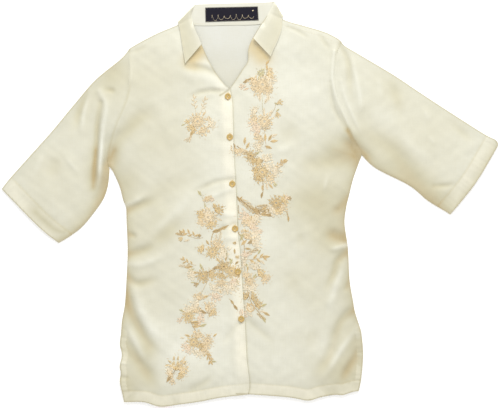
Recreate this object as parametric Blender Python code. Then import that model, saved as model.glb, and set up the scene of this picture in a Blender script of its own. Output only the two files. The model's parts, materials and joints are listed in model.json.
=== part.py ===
"""A barong tagalog blouse laid out flat, face up, with its collar towards +Y.

Metres, +Z up, origin on the surface under the middle of the blouse. Right and left are the wearer's, so
the right front is on the -X side. Each piece that a maker cuts and sews on is one closed solid.
"""

import math
from collections import namedtuple

import bmesh
import bpy
from mathutils import Vector
from mathutils.geometry import delaunay_2d_cdt

MM = 0.001

# Thicknesses and gaps, in metres.
CLOTH = 0.0012        # wall that stands for one layer of cloth
GAP = 0.0003          # space between pieces at a seam, and between layers
LAP = 0.018           # how far the left front runs under the right one
HEM_STEP = 0.002      # how much shorter the back is than the fronts

# Mesh steps, in metres.
EDGE_STEP = 0.016
FRONT_GRID = 0.018
BACK_GRID = 0.038

# The seam lines of the blouse as it lies, in millimetres, each from the neck or centre outwards or down.
Point = namedtuple("Point", "x y")


def line(*pairs):
    return [Point(x, y) for x, y in pairs]


RIGHT = {
    "neck": line((-109, 332), (-102, 320), (-87, 286), (-72, 254), (-58, 231), (-43, 212), (-37, 209)),
    "shoulder": line((-109, 332), (-127, 323), (-161, 309), (-184, 298), (-206, 286), (-217, 279)),
    "armhole": line((-217, 279), (-214, 238), (-220, 191), (-241, 139), (-253, 97), (-254, 67)),
    "side": line((-254, 67), (-248, 61), (-235, 33), (-228, 7), (-223, -6), (-222, -29), (-220, -83),
                 (-222, -135), (-225, -180), (-230, -209), (-232, -234)),
    "vent": line((-232, -234), (-234, -253), (-230, -271), (-234, -291), (-232, -303), (-234, -318),
                 (-230, -338), (-226, -356)),
    "hem": line((-226, -356), (-191, -356), (-161, -364), (-126, -360), (-90, -355), (-54, -348), (-4, -342)),
    "edge": line((-37, 209), (-32, 184), (-31, 155), (-29, 88), (-25, 14), (-22, -52), (-18, -85),
                 (-16, -119), (-13, -158), (-9, -218), (-6, -277), (-1, -322), (-4, -342)),
}
LEFT = {
    "neck": line((34, 343), (18, 320), (4, 296), (-3, 278), (-4, 257), (-13, 243), (-31, 215), (-41, 203),
                 (-54, 195)),
    "shoulder": line((34, 343), (57, 333), (72, 327), (129, 311), (155, 299), (164, 292)),
    "armhole": line((164, 292), (152, 266), (149, 223), (160, 173), (178, 130), (201, 88)),
    "side": line((201, 88), (186, 47), (178, 15), (173, -6), (170, -35), (176, -79), (179, -136),
                 (185, -173), (189, -195), (197, -220)),
    "vent": line((197, -220), (200, -231), (203, -260), (203, -278), (201, -303), (198, -324), (195, -336)),
    "hem": line((195, -336), (183, -338), (168, -343), (152, -343), (127, -347), (104, -353), (68, -347),
                (0, -342), (-24, -341)),
}
BACK_NECK = line((-109, 332), (-99, 321), (-40, 321), (23, 324), (34, 343))

# The largest folds, in millimetres: a soft ridge from one end to the other, with its half width and height.
Fold = namedtuple("Fold", "x0 y0 x1 y1 width height")
FOLDS = [
    Fold(-250, 92, -150, 62, 17, 2.6),      # under the right arm
    Fold(-219, -70, -172, -66, 9, 2.4),     # pulls from the right side seam at the waist
    Fold(-219, -106, -158, -98, 10, 2.6),
    Fold(-221, -146, -150, -122, 12, 3.0),
    Fold(-213, -150, -148, -326, 16, 4.4),  # the long fold down to the right hem
    Fold(-84, -352, -96, -250, 15, 2.6),
    Fold(196, 92, 118, 60, 17, 2.6),        # under the left arm
    Fold(169, -46, 116, -62, 11, 2.6),      # pulls from the left side seam at the waist
    Fold(174, -92, 138, -156, 11, 3.2),
    Fold(183, -196, 112, -302, 15, 4.4),    # the long fold down to the left hem
    Fold(104, -350, 92, -262, 14, 2.6),
    Fold(-262, 188, -270, 26, 11, 3.2),     # across the right sleeve
    Fold(-292, 204, -300, 2, 12, 3.6),
    Fold(-372, 92, -334, -24, 18, 2.4),
    Fold(212, 238, 246, 74, 14, 3.2),       # across the left sleeve
    Fold(322, 176, 300, 50, 20, 2.6),
]
PUFF = 1.4            # how far the cloth stands up away from its folds, in millimetres
PUFF_EDGE = 40.0      # the distance over which it comes down towards the side seams, in millimetres

# The neck, where the fall of the collar lies under the back, in millimetres.
NECK_RAISE = 1.5
Ramp = namedtuple("Ramp", "start end")
RAISE_RIGHT = Ramp(-185, -158)
RAISE_LEFT = Ramp(115, 88)
RAISE_DOWN = Ramp(250, 285)

# The sleeves, one row for each section from the armhole to the cuff, in millimetres. The section runs from
# the fold at the top to the underarm seam. It bends as the armhole does by the part armhole says, and then
# towards the body by bow, and the sleeve stands open there by open_by.
Section = namedtuple("Section", "top_x top_y under_x under_y armhole bow open_by")
SLEEVE_RIGHT = [
    Section(-217, 279, -254, 67, 1.0, 0, 0.7),
    Section(-232, 261, -254.5, 57, 0.95, -3, 1.1),
    Section(-255, 243, -256, 45, 0.8, -5, 1.5),
    Section(-278, 223, -258, 30, 0.6, -5, 1.7),
    Section(-304, 193, -263, 11, 0.4, -4, 1.8),
    Section(-330, 163, -273, -7, 0.25, -3, 1.8),
    Section(-355, 132, -287, -24, 0.1, -2, 1.8),
    Section(-380, 104, -302, -41, 0.0, -1, 1.7),
    Section(-405, 76, -316, -52, 0.0, -2, 1.6),
    Section(-430, 47, -330, -61, 0.0, -3, 1.4),
    Section(-446.5, 27, -344, -70, 0.0, -4, 1.2),
]
SLEEVE_LEFT = [
    Section(164, 292, 201, 88, 1.0, 0, 0.7),
    Section(180, 278, 214, 75, 0.85, 0, 1.1),
    Section(203, 265, 228, 64, 0.7, 0, 1.5),
    Section(230, 249, 244, 56, 0.5, 0, 1.7),
    Section(262, 230, 262, 46, 0.35, 0, 1.8),
    Section(296, 206, 281, 36, 0.2, 0, 1.8),
    Section(328, 185, 299, 23, 0.1, 0, 1.8),
    Section(360, 165, 316, 9, 0.0, 0, 1.8),
    Section(392, 144, 333, -3, 0.0, 0, 1.7),
    Section(422, 125, 347, -12, 0.0, 0, 1.5),
    Section(446.5, 107, 360, -19, 0.0, -2, 1.2),
]
SLEEVE_FOLD = 1.6     # how far in from the fold the wall starts to turn, in millimetres

# The collar fall, one row for each section from its right point round the neck to its left point, in
# millimetres. roll is the point on the roll line, rim the one on the outer edge, and side is "over" on the
# fronts, "fold" where it turns round the neck, and "under" behind the back.
Strip = namedtuple("Strip", "roll_x roll_y rim_x rim_y side")
COLLAR_FALL = [
    Strip(-87, 286, -116, 252, "over"),
    Strip(-91, 297, -118.5, 266, "over"),
    Strip(-97, 310, -121, 281, "over"),
    Strip(-102, 324, -123.5, 297, "over"),
    Strip(-105, 340, -126, 312, "over"),
    Strip(-101, 355, -128, 325, "over"),
    Strip(-98.6, 358.2, -129.6, 326, "fold"),
    Strip(-95, 359, -126, 326, "under"),
    Strip(-72, 359.8, -88, 313, "under"),
    Strip(-32, 361, -34, 313, "under"),
    Strip(12, 362, 16, 315, "under"),
    Strip(40, 363.4, 55, 337, "under"),
    Strip(43.8, 364, 59.4, 336, "fold"),
    Strip(42, 361, 57.5, 335, "over"),
    Strip(36, 348, 57, 315, "over"),
    Strip(29, 336, 53, 301, "over"),
    Strip(21, 322, 48, 288, "over"),
    Strip(13, 309, 42, 276, "over"),
    Strip(6, 297, 37, 264, "over"),
]
FALL_ACROSS = 4
ROLL_HEIGHT = 3.4     # how high the roll line stands above the neckline, in millimetres

STAND = line((-106, 334), (-98, 322.2), (-40, 322), (21, 325.2), (31, 343), (39, 359), (37, 362.4),
             (-28, 360.6), (-94, 358.6), (-99, 352), (-104, 342))

# The label, woven and sewn flat on the collar stand.
LABEL_CORNERS = line((-80, 327), (15.5, 330), (14, 355), (-80.5, 353))
LABEL_THICK = 0.0007

# The buttons, on the overlap, in millimetres.
BUTTONS = line((-39.6, 193), (-36.2, 120), (-31.7, 36), (-26.8, -44), (-21.6, -121), (-15.7, -206))
BUTTON_RADIUS = 0.0057
BUTTON_THICK = 0.0024
BUTTON_RIM = 0.0006
BUTTON_SIDES = 20

# Colour, roughness and metallic value of each piece.
Finish = namedtuple("Finish", "red green blue roughness metallic")
CLOTH_FINISH = Finish(0.84, 0.79, 0.66, 0.55, 0.0)
LABEL_FINISH = Finish(0.02, 0.02, 0.05, 0.60, 0.0)
BUTTON_FINISH = Finish(0.62, 0.42, 0.17, 0.35, 0.0)


def clear_scene():
    for item in list(bpy.data.objects):
        bpy.data.objects.remove(item, do_unlink=True)


def smoothstep(value):
    t = min(1.0, max(0.0, value))
    return t * t * (3.0 - 2.0 * t)


def ramp(value, limits):
    return smoothstep((value - limits.start) / (limits.end - limits.start))


def curve(points, step=EDGE_STEP):
    """The smooth line through the points, as (x, y) pairs in metres about one step apart."""
    ends = [points[0]] + list(points) + [points[-1]]
    out = []
    for before, here, there, after in zip(ends, ends[1:], ends[2:], ends[3:]):
        length = math.hypot(there.x - here.x, there.y - here.y) * MM
        count = max(1, round(length / step))
        for k in range(count):
            t = k / count
            out.append(tuple(
                MM * (b + 0.5 * t * (c - a + t * (2 * a - 5 * b + 4 * c - d + t * (3 * (b - c) + d - a))))
                for a, b, c, d in zip(before, here, there, after)
            ))
    out.append((points[-1].x * MM, points[-1].y * MM))
    return out


def loop(*curves):
    """A closed outline from seam lines that meet end to end."""
    out = []
    for points in curves:
        for point in points:
            if not out or math.dist(out[-1], point) > 1e-5:
                out.append(point)
    if math.dist(out[0], out[-1]) < 1e-5:
        out.pop()
    return out


def edge_x(y):
    """Where the right front's free edge is at this y, in metres."""
    points = RIGHT["edge"]
    level = y / MM
    if level >= points[0].y:
        return points[0].x * MM
    for above, below in zip(points, points[1:]):
        if level >= below.y:
            t = (above.y - level) / (above.y - below.y)
            return (above.x + t * (below.x - above.x)) * MM
    return points[-1].x * MM


def ground(x, y):
    """The height of the back's underside, which is raised only over the fall of the collar."""
    x_mm = x / MM
    sides = ramp(x_mm, RAISE_RIGHT) * ramp(x_mm, RAISE_LEFT)
    return NECK_RAISE * MM * sides * ramp(y / MM, RAISE_DOWN)


def fold_height(fold, x, y):
    """How far one fold lifts the cloth at a point, in millimetres."""
    along_x = fold.x1 - fold.x0
    along_y = fold.y1 - fold.y0
    length = math.hypot(along_x, along_y)
    t = ((x - fold.x0) * along_x + (y - fold.y0) * along_y) / length ** 2
    off = ((x - fold.x0) * along_y - (y - fold.y0) * along_x) / length
    ends = smoothstep(t / 0.3 + 0.4) * smoothstep((1.0 - t) / 0.5)
    return fold.height * ends * math.exp(-(off / fold.width) ** 2)


def billow(x, y):
    """How far the folds and the puff of the cloth lift it at a point, in metres."""
    x_mm = x / MM
    y_mm = y / MM
    inside = min(x_mm + 222.0, 172.0 - x_mm, 300.0 - y_mm, y_mm + 342.0)
    lift = PUFF * smoothstep(inside / PUFF_EDGE)
    for fold in FOLDS:
        lift += fold_height(fold, x_mm, y_mm)
    return lift * MM


def front_under(x, y):
    """The height of a front's underside where it lies on the back."""
    return ground(x, y) + CLOTH + GAP + billow(x, y)


def right_front_under(x, y):
    """The right front's underside, which steps up over the left front at the overlap."""
    hidden_edge = edge_x(y) - LAP
    step = smoothstep((x - hidden_edge + 0.030) / 0.026)
    return front_under(x, y) + step * (CLOTH + GAP)


def sheet_top(x, y):
    """The top of the cloth that the collar lies on."""
    return right_front_under(x, y) + CLOTH if x < -0.030 else front_under(x, y) + CLOTH


def material(name, finish):
    made = bpy.data.materials.new(name)
    made.use_nodes = True
    shader = made.node_tree.nodes["Principled BSDF"]
    shader.inputs["Base Color"].default_value = (finish.red, finish.green, finish.blue, 1.0)
    shader.inputs["Roughness"].default_value = finish.roughness
    shader.inputs["Metallic"].default_value = finish.metallic
    return made


def add_object(name, bm, finish, smooth=True):
    bmesh.ops.recalc_face_normals(bm, faces=bm.faces)
    mesh = bpy.data.meshes.new(name)
    bm.to_mesh(mesh)
    bm.free()
    if smooth:
        mesh.shade_smooth()
        mesh.set_sharp_from_angle(angle=math.radians(40))
    mesh.materials.append(material(name + "_finish", finish))
    made = bpy.data.objects.new(name, mesh)
    bpy.context.scene.collection.objects.link(made)
    return made


def inside_outline(x, y, outline, margin):
    """Whether a point is inside a closed outline and further than margin from it."""
    inside = False
    for (x0, y0), (x1, y1) in zip(outline, outline[1:] + outline[:1]):
        if (y0 > y) != (y1 > y) and x < x0 + (y - y0) * (x1 - x0) / (y1 - y0):
            inside = not inside
        along = Vector((x1 - x0, y1 - y0))
        t = ((x - x0) * along.x + (y - y0) * along.y) / max(along.length_squared, 1e-12)
        t = min(1.0, max(0.0, t))
        if math.hypot(x - x0 - t * along.x, y - y0 - t * along.y) < margin:
            return False
    return inside


def panel(name, outline, grid, under, finish=CLOTH_FINISH, thick=CLOTH):
    """A cut piece of cloth: a wall of one thickness over its outline, whose underside has the height under(x, y)."""
    xs = [p[0] for p in outline]
    ys = [p[1] for p in outline]
    points = [Vector(p) for p in outline]
    rows = int((max(ys) - min(ys)) / (grid * 0.866)) + 1
    columns = int((max(xs) - min(xs)) / grid) + 1
    for row in range(1, rows):
        for column in range(columns + 1):
            x = min(xs) + grid * (column + 0.5 * (row % 2))
            y = min(ys) + grid * 0.866 * row
            if inside_outline(x, y, outline, 0.55 * grid):
                points.append(Vector((x, y)))
    count = len(outline)
    edges = [(k, (k + 1) % count) for k in range(count)]
    flat, _, triangles, _, _, _ = delaunay_2d_cdt(points, edges, [list(range(count))], 1, 1e-7)
    bm = bmesh.new()
    low = [bm.verts.new((p.x, p.y, under(p.x, p.y))) for p in flat]
    high = [bm.verts.new((v.co.x, v.co.y, v.co.z + thick)) for v in low]
    for triangle in triangles:
        bm.faces.new([high[k] for k in triangle])
        bm.faces.new([low[k] for k in reversed(triangle)])
    bm.edges.ensure_lookup_table()
    rim = [e for e in bm.edges if len(e.link_faces) == 1 and e.verts[0] in set(low)]
    partner = dict(zip(low, high))
    for edge in rim:
        a, b = edge.verts
        bm.faces.new((a, b, partner[b], partner[a]))
    return add_object(name, bm, finish)


def back():
    """The back, cut in one piece, which lies on the surface."""
    hem = [Point(p.x, p.y + HEM_STEP / MM) for p in RIGHT["hem"]]
    hem += [Point(p.x, p.y + HEM_STEP / MM) for p in reversed(LEFT["hem"][:-1])]
    outline = loop(
        curve(BACK_NECK[::-1]),
        curve(RIGHT["shoulder"]),
        curve(RIGHT["armhole"]),
        curve(RIGHT["side"]),
        curve(RIGHT["vent"])[:-1],
        curve(hem),
        curve(LEFT["vent"])[::-1][1:],
        curve(LEFT["side"])[::-1],
        curve(LEFT["armhole"])[::-1],
        curve(LEFT["shoulder"])[::-1],
    )
    return panel("back_panel", outline, BACK_GRID, ground)


def right_front():
    """The right front, the upper one at the buttons, from its neckline to its turned-up hem."""
    outline = loop(
        curve(RIGHT["neck"])[::-1],
        curve(RIGHT["shoulder"]),
        curve(RIGHT["armhole"]),
        curve(RIGHT["side"]),
        curve(RIGHT["vent"]),
        curve(RIGHT["hem"]),
        curve(RIGHT["edge"])[::-1],
    )
    return panel("front_panel_right", outline, FRONT_GRID, right_front_under)


def left_front():
    """The left front, which runs under the right one by the width of the overlap."""
    top = LEFT["neck"][-1].y
    hidden = [Point(p.x - LAP / MM, p.y) for p in RIGHT["edge"] if top - 15 > p.y > -330]
    hidden = [LEFT["neck"][-1]] + hidden + [LEFT["hem"][-1]]
    outline = loop(
        curve(LEFT["neck"]),
        curve(hidden),
        curve(LEFT["hem"])[::-1],
        curve(LEFT["vent"])[::-1],
        curve(LEFT["side"])[::-1],
        curve(LEFT["armhole"])[::-1],
        curve(LEFT["shoulder"])[::-1],
    )
    return panel("front_panel_left", outline, FRONT_GRID, front_under)


def armhole_shape(points):
    """How far along its chord, from 0 to 1, and how far off it, in millimetres, each point of an armhole is."""
    top = Vector(points[0])
    across = Vector(points[-1]) - top
    width = across.length
    across.normalize()
    shape = []
    for point in points:
        off = Vector(point) - top
        shape.append((off.dot(across) / width, (off.x * across.y - off.y * across.x) / MM))
    return shape


def bend_at(shape, t):
    """How far off its chord an armhole is at the part t of the chord."""
    for (t0, off0), (t1, off1) in zip(shape, shape[1:]):
        if t <= t1:
            return off0 + (off1 - off0) * (t - t0) / (t1 - t0)
    return shape[-1][1]


def sleeve(name, sections, armhole, outward):
    """A sleeve: a tube of cloth pressed flat, open at the armhole and at the cuff."""
    bm = bmesh.new()
    shape = armhole_shape(curve(armhole))
    outer_rings = []
    inner_rings = []
    for section in sections:
        top = Vector((section.top_x + outward * GAP / MM, section.top_y))
        under = Vector((section.under_x + outward * GAP / MM, section.under_y))
        width = (under - top).length
        across = (under - top) / width
        side = Vector((across.y, -across.x))
        toward_body = -outward if side.x > 0 else outward

        def spot(distance):
            t = distance / width
            bow = toward_body * section.bow * 4.0 * t * (1.0 - t)
            return (top + across * distance + side * (section.armhole * bend_at(shape, t) + bow)) * MM

        def ring(inset):
            """The section's outline, turned in by inset from the cloth's outer face."""
            edge = inset / MM
            turn = SLEEVE_FOLD + edge
            stops = [turn] + [t * width for t, _ in shape[1:-1]] + [width - turn]
            middle = CLOTH + GAP
            points = []
            for distance in stops:
                p = spot(distance)
                belly = math.sin(math.pi * distance / width) * section.open_by * MM
                points.append((p.x, p.y, 2 * CLOTH + 2 * GAP + belly + billow(p.x, p.y) - inset))
            p = spot(width - edge)
            points.append((p.x, p.y, middle))
            for distance in reversed(stops):
                p = spot(distance)
                points.append((p.x, p.y, inset))
            p = spot(edge)
            points.append((p.x, p.y, middle))
            return [bm.verts.new(p) for p in points]

        outer_rings.append(ring(0.0))
        inner_rings.append(ring(CLOTH))
    count = len(outer_rings[0])
    for rings in (outer_rings, inner_rings):
        for near, far in zip(rings, rings[1:]):
            for k in range(count):
                following = (k + 1) % count
                bm.faces.new((near[k], near[following], far[following], far[k]))
    for end in (0, -1):
        for k in range(count):
            following = (k + 1) % count
            bm.faces.new((outer_rings[end][k], outer_rings[end][following],
                          inner_rings[end][following], inner_rings[end][k]))
    bmesh.ops.triangulate(bm, faces=bm.faces)
    return add_object(name, bm, CLOTH_FINISH)


def collar_fall():
    """The fall of the collar: a strip that lies on both fronts and turns behind the back at the neck."""
    bm = bmesh.new()
    rows = []
    for strip in COLLAR_FALL:
        outer = []
        inner = []
        for k in range(FALL_ACROSS + 1):
            t = k / FALL_ACROSS
            x = (strip.roll_x + t * (strip.rim_x - strip.roll_x)) * MM
            y = (strip.roll_y + t * (strip.rim_y - strip.roll_y)) * MM
            rolled = ROLL_HEIGHT * MM * (1.0 - t) ** 2
            low = sheet_top(x, y) + 2 * GAP + rolled
            if strip.side == "over":
                outer.append(bm.verts.new((x, y, low + CLOTH)))
                inner.append(bm.verts.new((x, y, low)))
            elif strip.side == "under":
                outer.append(bm.verts.new((x, y, 0.0)))
                inner.append(bm.verts.new((x, y, CLOTH)))
            else:
                inward = CLOTH if strip.roll_x < 0 else -CLOTH
                outer.append(bm.verts.new((x, y, 0.5 * (low + CLOTH))))
                inner.append(bm.verts.new((x + inward, y - 0.3 * CLOTH, 0.5 * (low + CLOTH))))
        rows.append((outer, inner))
    for (outer0, inner0), (outer1, inner1) in zip(rows, rows[1:]):
        for k in range(FALL_ACROSS):
            bm.faces.new((outer0[k], outer0[k + 1], outer1[k + 1], outer1[k]))
            bm.faces.new((inner0[k], inner1[k], inner1[k + 1], inner0[k + 1]))
        for k in (0, FALL_ACROSS):
            bm.faces.new((outer0[k], outer1[k], inner1[k], inner0[k]))
    for outer, inner in (rows[0], rows[-1]):
        for k in range(FALL_ACROSS):
            bm.faces.new((outer[k], outer[k + 1], inner[k + 1], inner[k]))
    bmesh.ops.triangulate(bm, faces=bm.faces)
    return add_object("collar_fall", bm, CLOTH_FINISH)


def stand_under(x, y):
    """The height of the collar stand's underside: it lies on the fall behind it."""
    return CLOTH + GAP


def collar_stand():
    """The stand of the collar, whose inner face shows across the open neck."""
    return panel("collar_stand", loop(curve(STAND)), BACK_GRID, stand_under)


def label():
    """The woven label, left without any words, sewn flat on the stand."""
    def under(x, y):
        return stand_under(x, y) + CLOTH + GAP

    corners = [(p.x * MM, p.y * MM) for p in LABEL_CORNERS]
    return panel("neck_label", corners, BACK_GRID, under, LABEL_FINISH, LABEL_THICK)


def button_mesh():
    """One round button: a disc with a softened rim, closed at its top and underside."""
    profile = [
        (BUTTON_RADIUS - BUTTON_RIM, 0.0),
        (BUTTON_RADIUS, BUTTON_RIM),
        (BUTTON_RADIUS, BUTTON_THICK - BUTTON_RIM),
        (BUTTON_RADIUS - BUTTON_RIM, BUTTON_THICK),
    ]
    bm = bmesh.new()
    rings = []
    for radius, height in profile:
        turns = [2 * math.pi * k / BUTTON_SIDES for k in range(BUTTON_SIDES)]
        rings.append([bm.verts.new((radius * math.cos(a), radius * math.sin(a), height)) for a in turns])
    for low, high in zip(rings, rings[1:]):
        for k in range(BUTTON_SIDES):
            following = (k + 1) % BUTTON_SIDES
            bm.faces.new((low[k], low[following], high[following], high[k]))
    bm.faces.new(rings[0][::-1])
    bm.faces.new(rings[-1])
    return bm


def buttons():
    """The buttons, each lying on the overlap where it is fastened."""
    for number, place in enumerate(BUTTONS, start=1):
        made = add_object(f"button_{number}", button_mesh(), BUTTON_FINISH)
        x = place.x * MM
        y = place.y * MM
        reach = [(x + BUTTON_RADIUS * math.cos(a), y + BUTTON_RADIUS * math.sin(a))
                 for a in (k * math.pi / 4 for k in range(8))]
        top = max(right_front_under(*spot) for spot in reach + [(x, y)]) + CLOTH
        made.location = (x, y, top + GAP)


clear_scene()
back()
right_front()
left_front()
sleeve("sleeve_right", SLEEVE_RIGHT, RIGHT["armhole"], -1)
sleeve("sleeve_left", SLEEVE_LEFT, LEFT["armhole"], 1)
collar_fall()
collar_stand()
label()
buttons()
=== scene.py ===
import json
import math
from collections import namedtuple

import bmesh
import bpy
import numpy as np
from mathutils import Vector, kdtree
from mathutils.bvhtree import BVHTree
from mathutils.geometry import delaunay_2d_cdt
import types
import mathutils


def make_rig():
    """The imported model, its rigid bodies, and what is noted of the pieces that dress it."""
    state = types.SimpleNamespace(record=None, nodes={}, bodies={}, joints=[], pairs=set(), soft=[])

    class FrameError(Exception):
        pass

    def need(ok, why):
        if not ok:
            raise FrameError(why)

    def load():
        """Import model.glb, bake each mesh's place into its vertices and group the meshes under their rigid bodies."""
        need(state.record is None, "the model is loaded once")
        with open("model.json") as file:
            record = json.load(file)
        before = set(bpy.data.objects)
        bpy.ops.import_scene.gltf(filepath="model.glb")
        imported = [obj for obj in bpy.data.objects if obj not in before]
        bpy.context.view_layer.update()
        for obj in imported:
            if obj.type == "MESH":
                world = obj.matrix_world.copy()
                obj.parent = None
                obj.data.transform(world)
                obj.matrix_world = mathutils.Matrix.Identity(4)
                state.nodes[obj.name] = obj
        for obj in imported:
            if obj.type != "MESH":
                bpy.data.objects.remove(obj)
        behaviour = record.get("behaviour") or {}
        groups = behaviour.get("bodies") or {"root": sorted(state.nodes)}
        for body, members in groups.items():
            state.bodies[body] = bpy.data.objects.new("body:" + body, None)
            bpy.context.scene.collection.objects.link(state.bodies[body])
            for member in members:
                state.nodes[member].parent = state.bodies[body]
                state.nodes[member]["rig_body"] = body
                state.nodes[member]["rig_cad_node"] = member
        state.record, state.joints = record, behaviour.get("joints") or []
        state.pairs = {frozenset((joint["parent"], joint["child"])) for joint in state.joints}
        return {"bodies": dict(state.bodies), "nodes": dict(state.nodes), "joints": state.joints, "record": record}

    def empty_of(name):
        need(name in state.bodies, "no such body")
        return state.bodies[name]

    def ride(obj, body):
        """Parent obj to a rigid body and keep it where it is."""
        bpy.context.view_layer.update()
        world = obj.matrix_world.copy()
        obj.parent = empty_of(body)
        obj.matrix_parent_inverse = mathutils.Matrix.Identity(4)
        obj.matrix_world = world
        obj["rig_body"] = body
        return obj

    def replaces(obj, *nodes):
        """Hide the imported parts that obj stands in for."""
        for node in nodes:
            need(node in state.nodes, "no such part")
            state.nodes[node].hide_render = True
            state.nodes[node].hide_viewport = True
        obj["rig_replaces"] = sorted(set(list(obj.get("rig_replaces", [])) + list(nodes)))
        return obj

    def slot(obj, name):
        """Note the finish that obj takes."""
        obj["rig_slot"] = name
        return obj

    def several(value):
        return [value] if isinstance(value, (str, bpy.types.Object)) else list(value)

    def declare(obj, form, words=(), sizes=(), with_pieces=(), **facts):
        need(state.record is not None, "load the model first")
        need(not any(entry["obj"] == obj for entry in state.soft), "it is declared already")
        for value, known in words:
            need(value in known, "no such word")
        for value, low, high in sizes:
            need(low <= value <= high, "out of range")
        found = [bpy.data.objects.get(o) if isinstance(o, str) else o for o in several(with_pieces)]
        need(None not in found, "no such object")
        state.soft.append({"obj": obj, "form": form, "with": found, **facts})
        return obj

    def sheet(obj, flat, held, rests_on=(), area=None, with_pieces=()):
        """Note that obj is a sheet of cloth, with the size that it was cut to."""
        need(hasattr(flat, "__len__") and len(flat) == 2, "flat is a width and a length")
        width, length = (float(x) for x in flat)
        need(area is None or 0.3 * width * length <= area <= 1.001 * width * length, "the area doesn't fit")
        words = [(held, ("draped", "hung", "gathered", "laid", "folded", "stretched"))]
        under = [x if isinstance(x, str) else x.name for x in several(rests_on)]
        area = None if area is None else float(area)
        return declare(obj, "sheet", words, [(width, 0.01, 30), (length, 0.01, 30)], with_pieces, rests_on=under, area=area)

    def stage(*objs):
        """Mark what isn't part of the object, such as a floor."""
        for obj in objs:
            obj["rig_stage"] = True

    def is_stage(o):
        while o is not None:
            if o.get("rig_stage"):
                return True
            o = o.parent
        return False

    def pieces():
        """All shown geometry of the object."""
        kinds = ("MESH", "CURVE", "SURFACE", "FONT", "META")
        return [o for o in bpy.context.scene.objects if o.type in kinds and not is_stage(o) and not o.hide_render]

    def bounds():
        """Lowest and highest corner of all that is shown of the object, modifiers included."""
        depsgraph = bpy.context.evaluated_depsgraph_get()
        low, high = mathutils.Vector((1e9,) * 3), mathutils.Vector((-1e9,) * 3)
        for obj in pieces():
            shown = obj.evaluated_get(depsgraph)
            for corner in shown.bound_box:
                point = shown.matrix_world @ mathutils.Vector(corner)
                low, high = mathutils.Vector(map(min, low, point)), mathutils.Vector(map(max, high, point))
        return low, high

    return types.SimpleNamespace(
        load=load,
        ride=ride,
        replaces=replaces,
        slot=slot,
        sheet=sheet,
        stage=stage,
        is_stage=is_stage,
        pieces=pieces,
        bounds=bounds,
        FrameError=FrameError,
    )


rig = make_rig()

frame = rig.load()
cad_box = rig.bounds()

# ---------------------------------------------------------------- the white table and the studio light
# The blouse lies on a plain white table under a broad soft light from beyond its collar, with a paler one
# overhead. The camera hangs straight above and takes in the whole width of the sleeves.
MM = 0.001
VIEW_WIDTH = 0.900
LENS = 85.0
SENSOR = 36.0
TABLE_TOP = -0.0006     # just under the cloth


def placed(name, data):
    """A new object of a mesh, a lamp or a camera, at the middle of the scene."""
    made = bpy.data.objects.new(name, data)
    bpy.context.scene.collection.objects.link(made)
    return made


def finish_of(name, values):
    """A new material, its node tree and its shader, with the shader's inputs set by their names."""
    made = bpy.data.materials.new(name)
    made.use_nodes = True
    shader = made.node_tree.nodes["Principled BSDF"]
    for socket, value in values.items():
        shader.inputs[socket].default_value = value
    return made, made.node_tree, shader


table_mesh = bpy.data.meshes.new("table")
table_corners = [(x, y, TABLE_TOP) for x, y in ((-4, -4), (4, -4), (4, 4), (-4, 4))]
table_mesh.from_pydata(table_corners, [], [(0, 1, 2, 3)])
table = placed("table", table_mesh)
table_paint, _, _ = finish_of("white_table", {
    "Base Color": (0.97, 0.97, 0.97, 1), "Roughness": 0.9, "Specular IOR Level": 0.1,
    "Emission Color": (1, 1, 1, 1), "Emission Strength": 0.22,
})
table_mesh.materials.append(table_paint)
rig.stage(table)

world = bpy.data.worlds.new("studio")
world.use_nodes = True
world.node_tree.nodes["Background"].inputs["Color"].default_value = (1.0, 0.99, 0.965, 1)
world.node_tree.nodes["Background"].inputs["Strength"].default_value = 0.62
bpy.context.scene.world = world
bpy.context.scene.view_settings.view_transform = "Standard"


def softbox(name, place, size, power, colour):
    """A square area light that faces the middle of the blouse."""
    lamp = bpy.data.lights.new(name, "AREA")
    lamp.size = size
    lamp.energy = power
    lamp.color = colour
    made = placed(name, lamp)
    made.location = place
    made.rotation_euler = (-Vector(place)).to_track_quat("-Z", "Y").to_euler()


softbox("key_light", (0.35, 2.5, 1.8), 1.3, 57.0, (1.0, 0.99, 0.97))
softbox("top_light", (-0.1, -0.1, 2.6), 1.6, 14.0, (1.0, 1.0, 1.0))

camera_data = bpy.data.cameras.new("camera")
camera_data.lens = LENS
camera_data.sensor_width = SENSOR
camera = placed("camera", camera_data)
camera.location = (0, 0, VIEW_WIDTH * LENS / SENSOR)
bpy.context.scene.camera = camera

# ---------------------------------------------------------------- the back
# One piece of ivory jusi, a sheer crisp plain weave, from the collar seam to a turned hem. It lies on the
# table with the rest on top of it, and its single layer shows inside the open neck.
CLOTH = 0.0005          # one layer as it shows, with its turnings
SEAM_GAP = 0.0003
HEM = 0.020             # turned up at the hem of the body
VENT_TURN = 0.011       # turned in along each side vent
BACK_PITCH = 0.0045     # spacing of the mesh
JUSI_COUNT = 1900.0     # threads per metre

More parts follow.
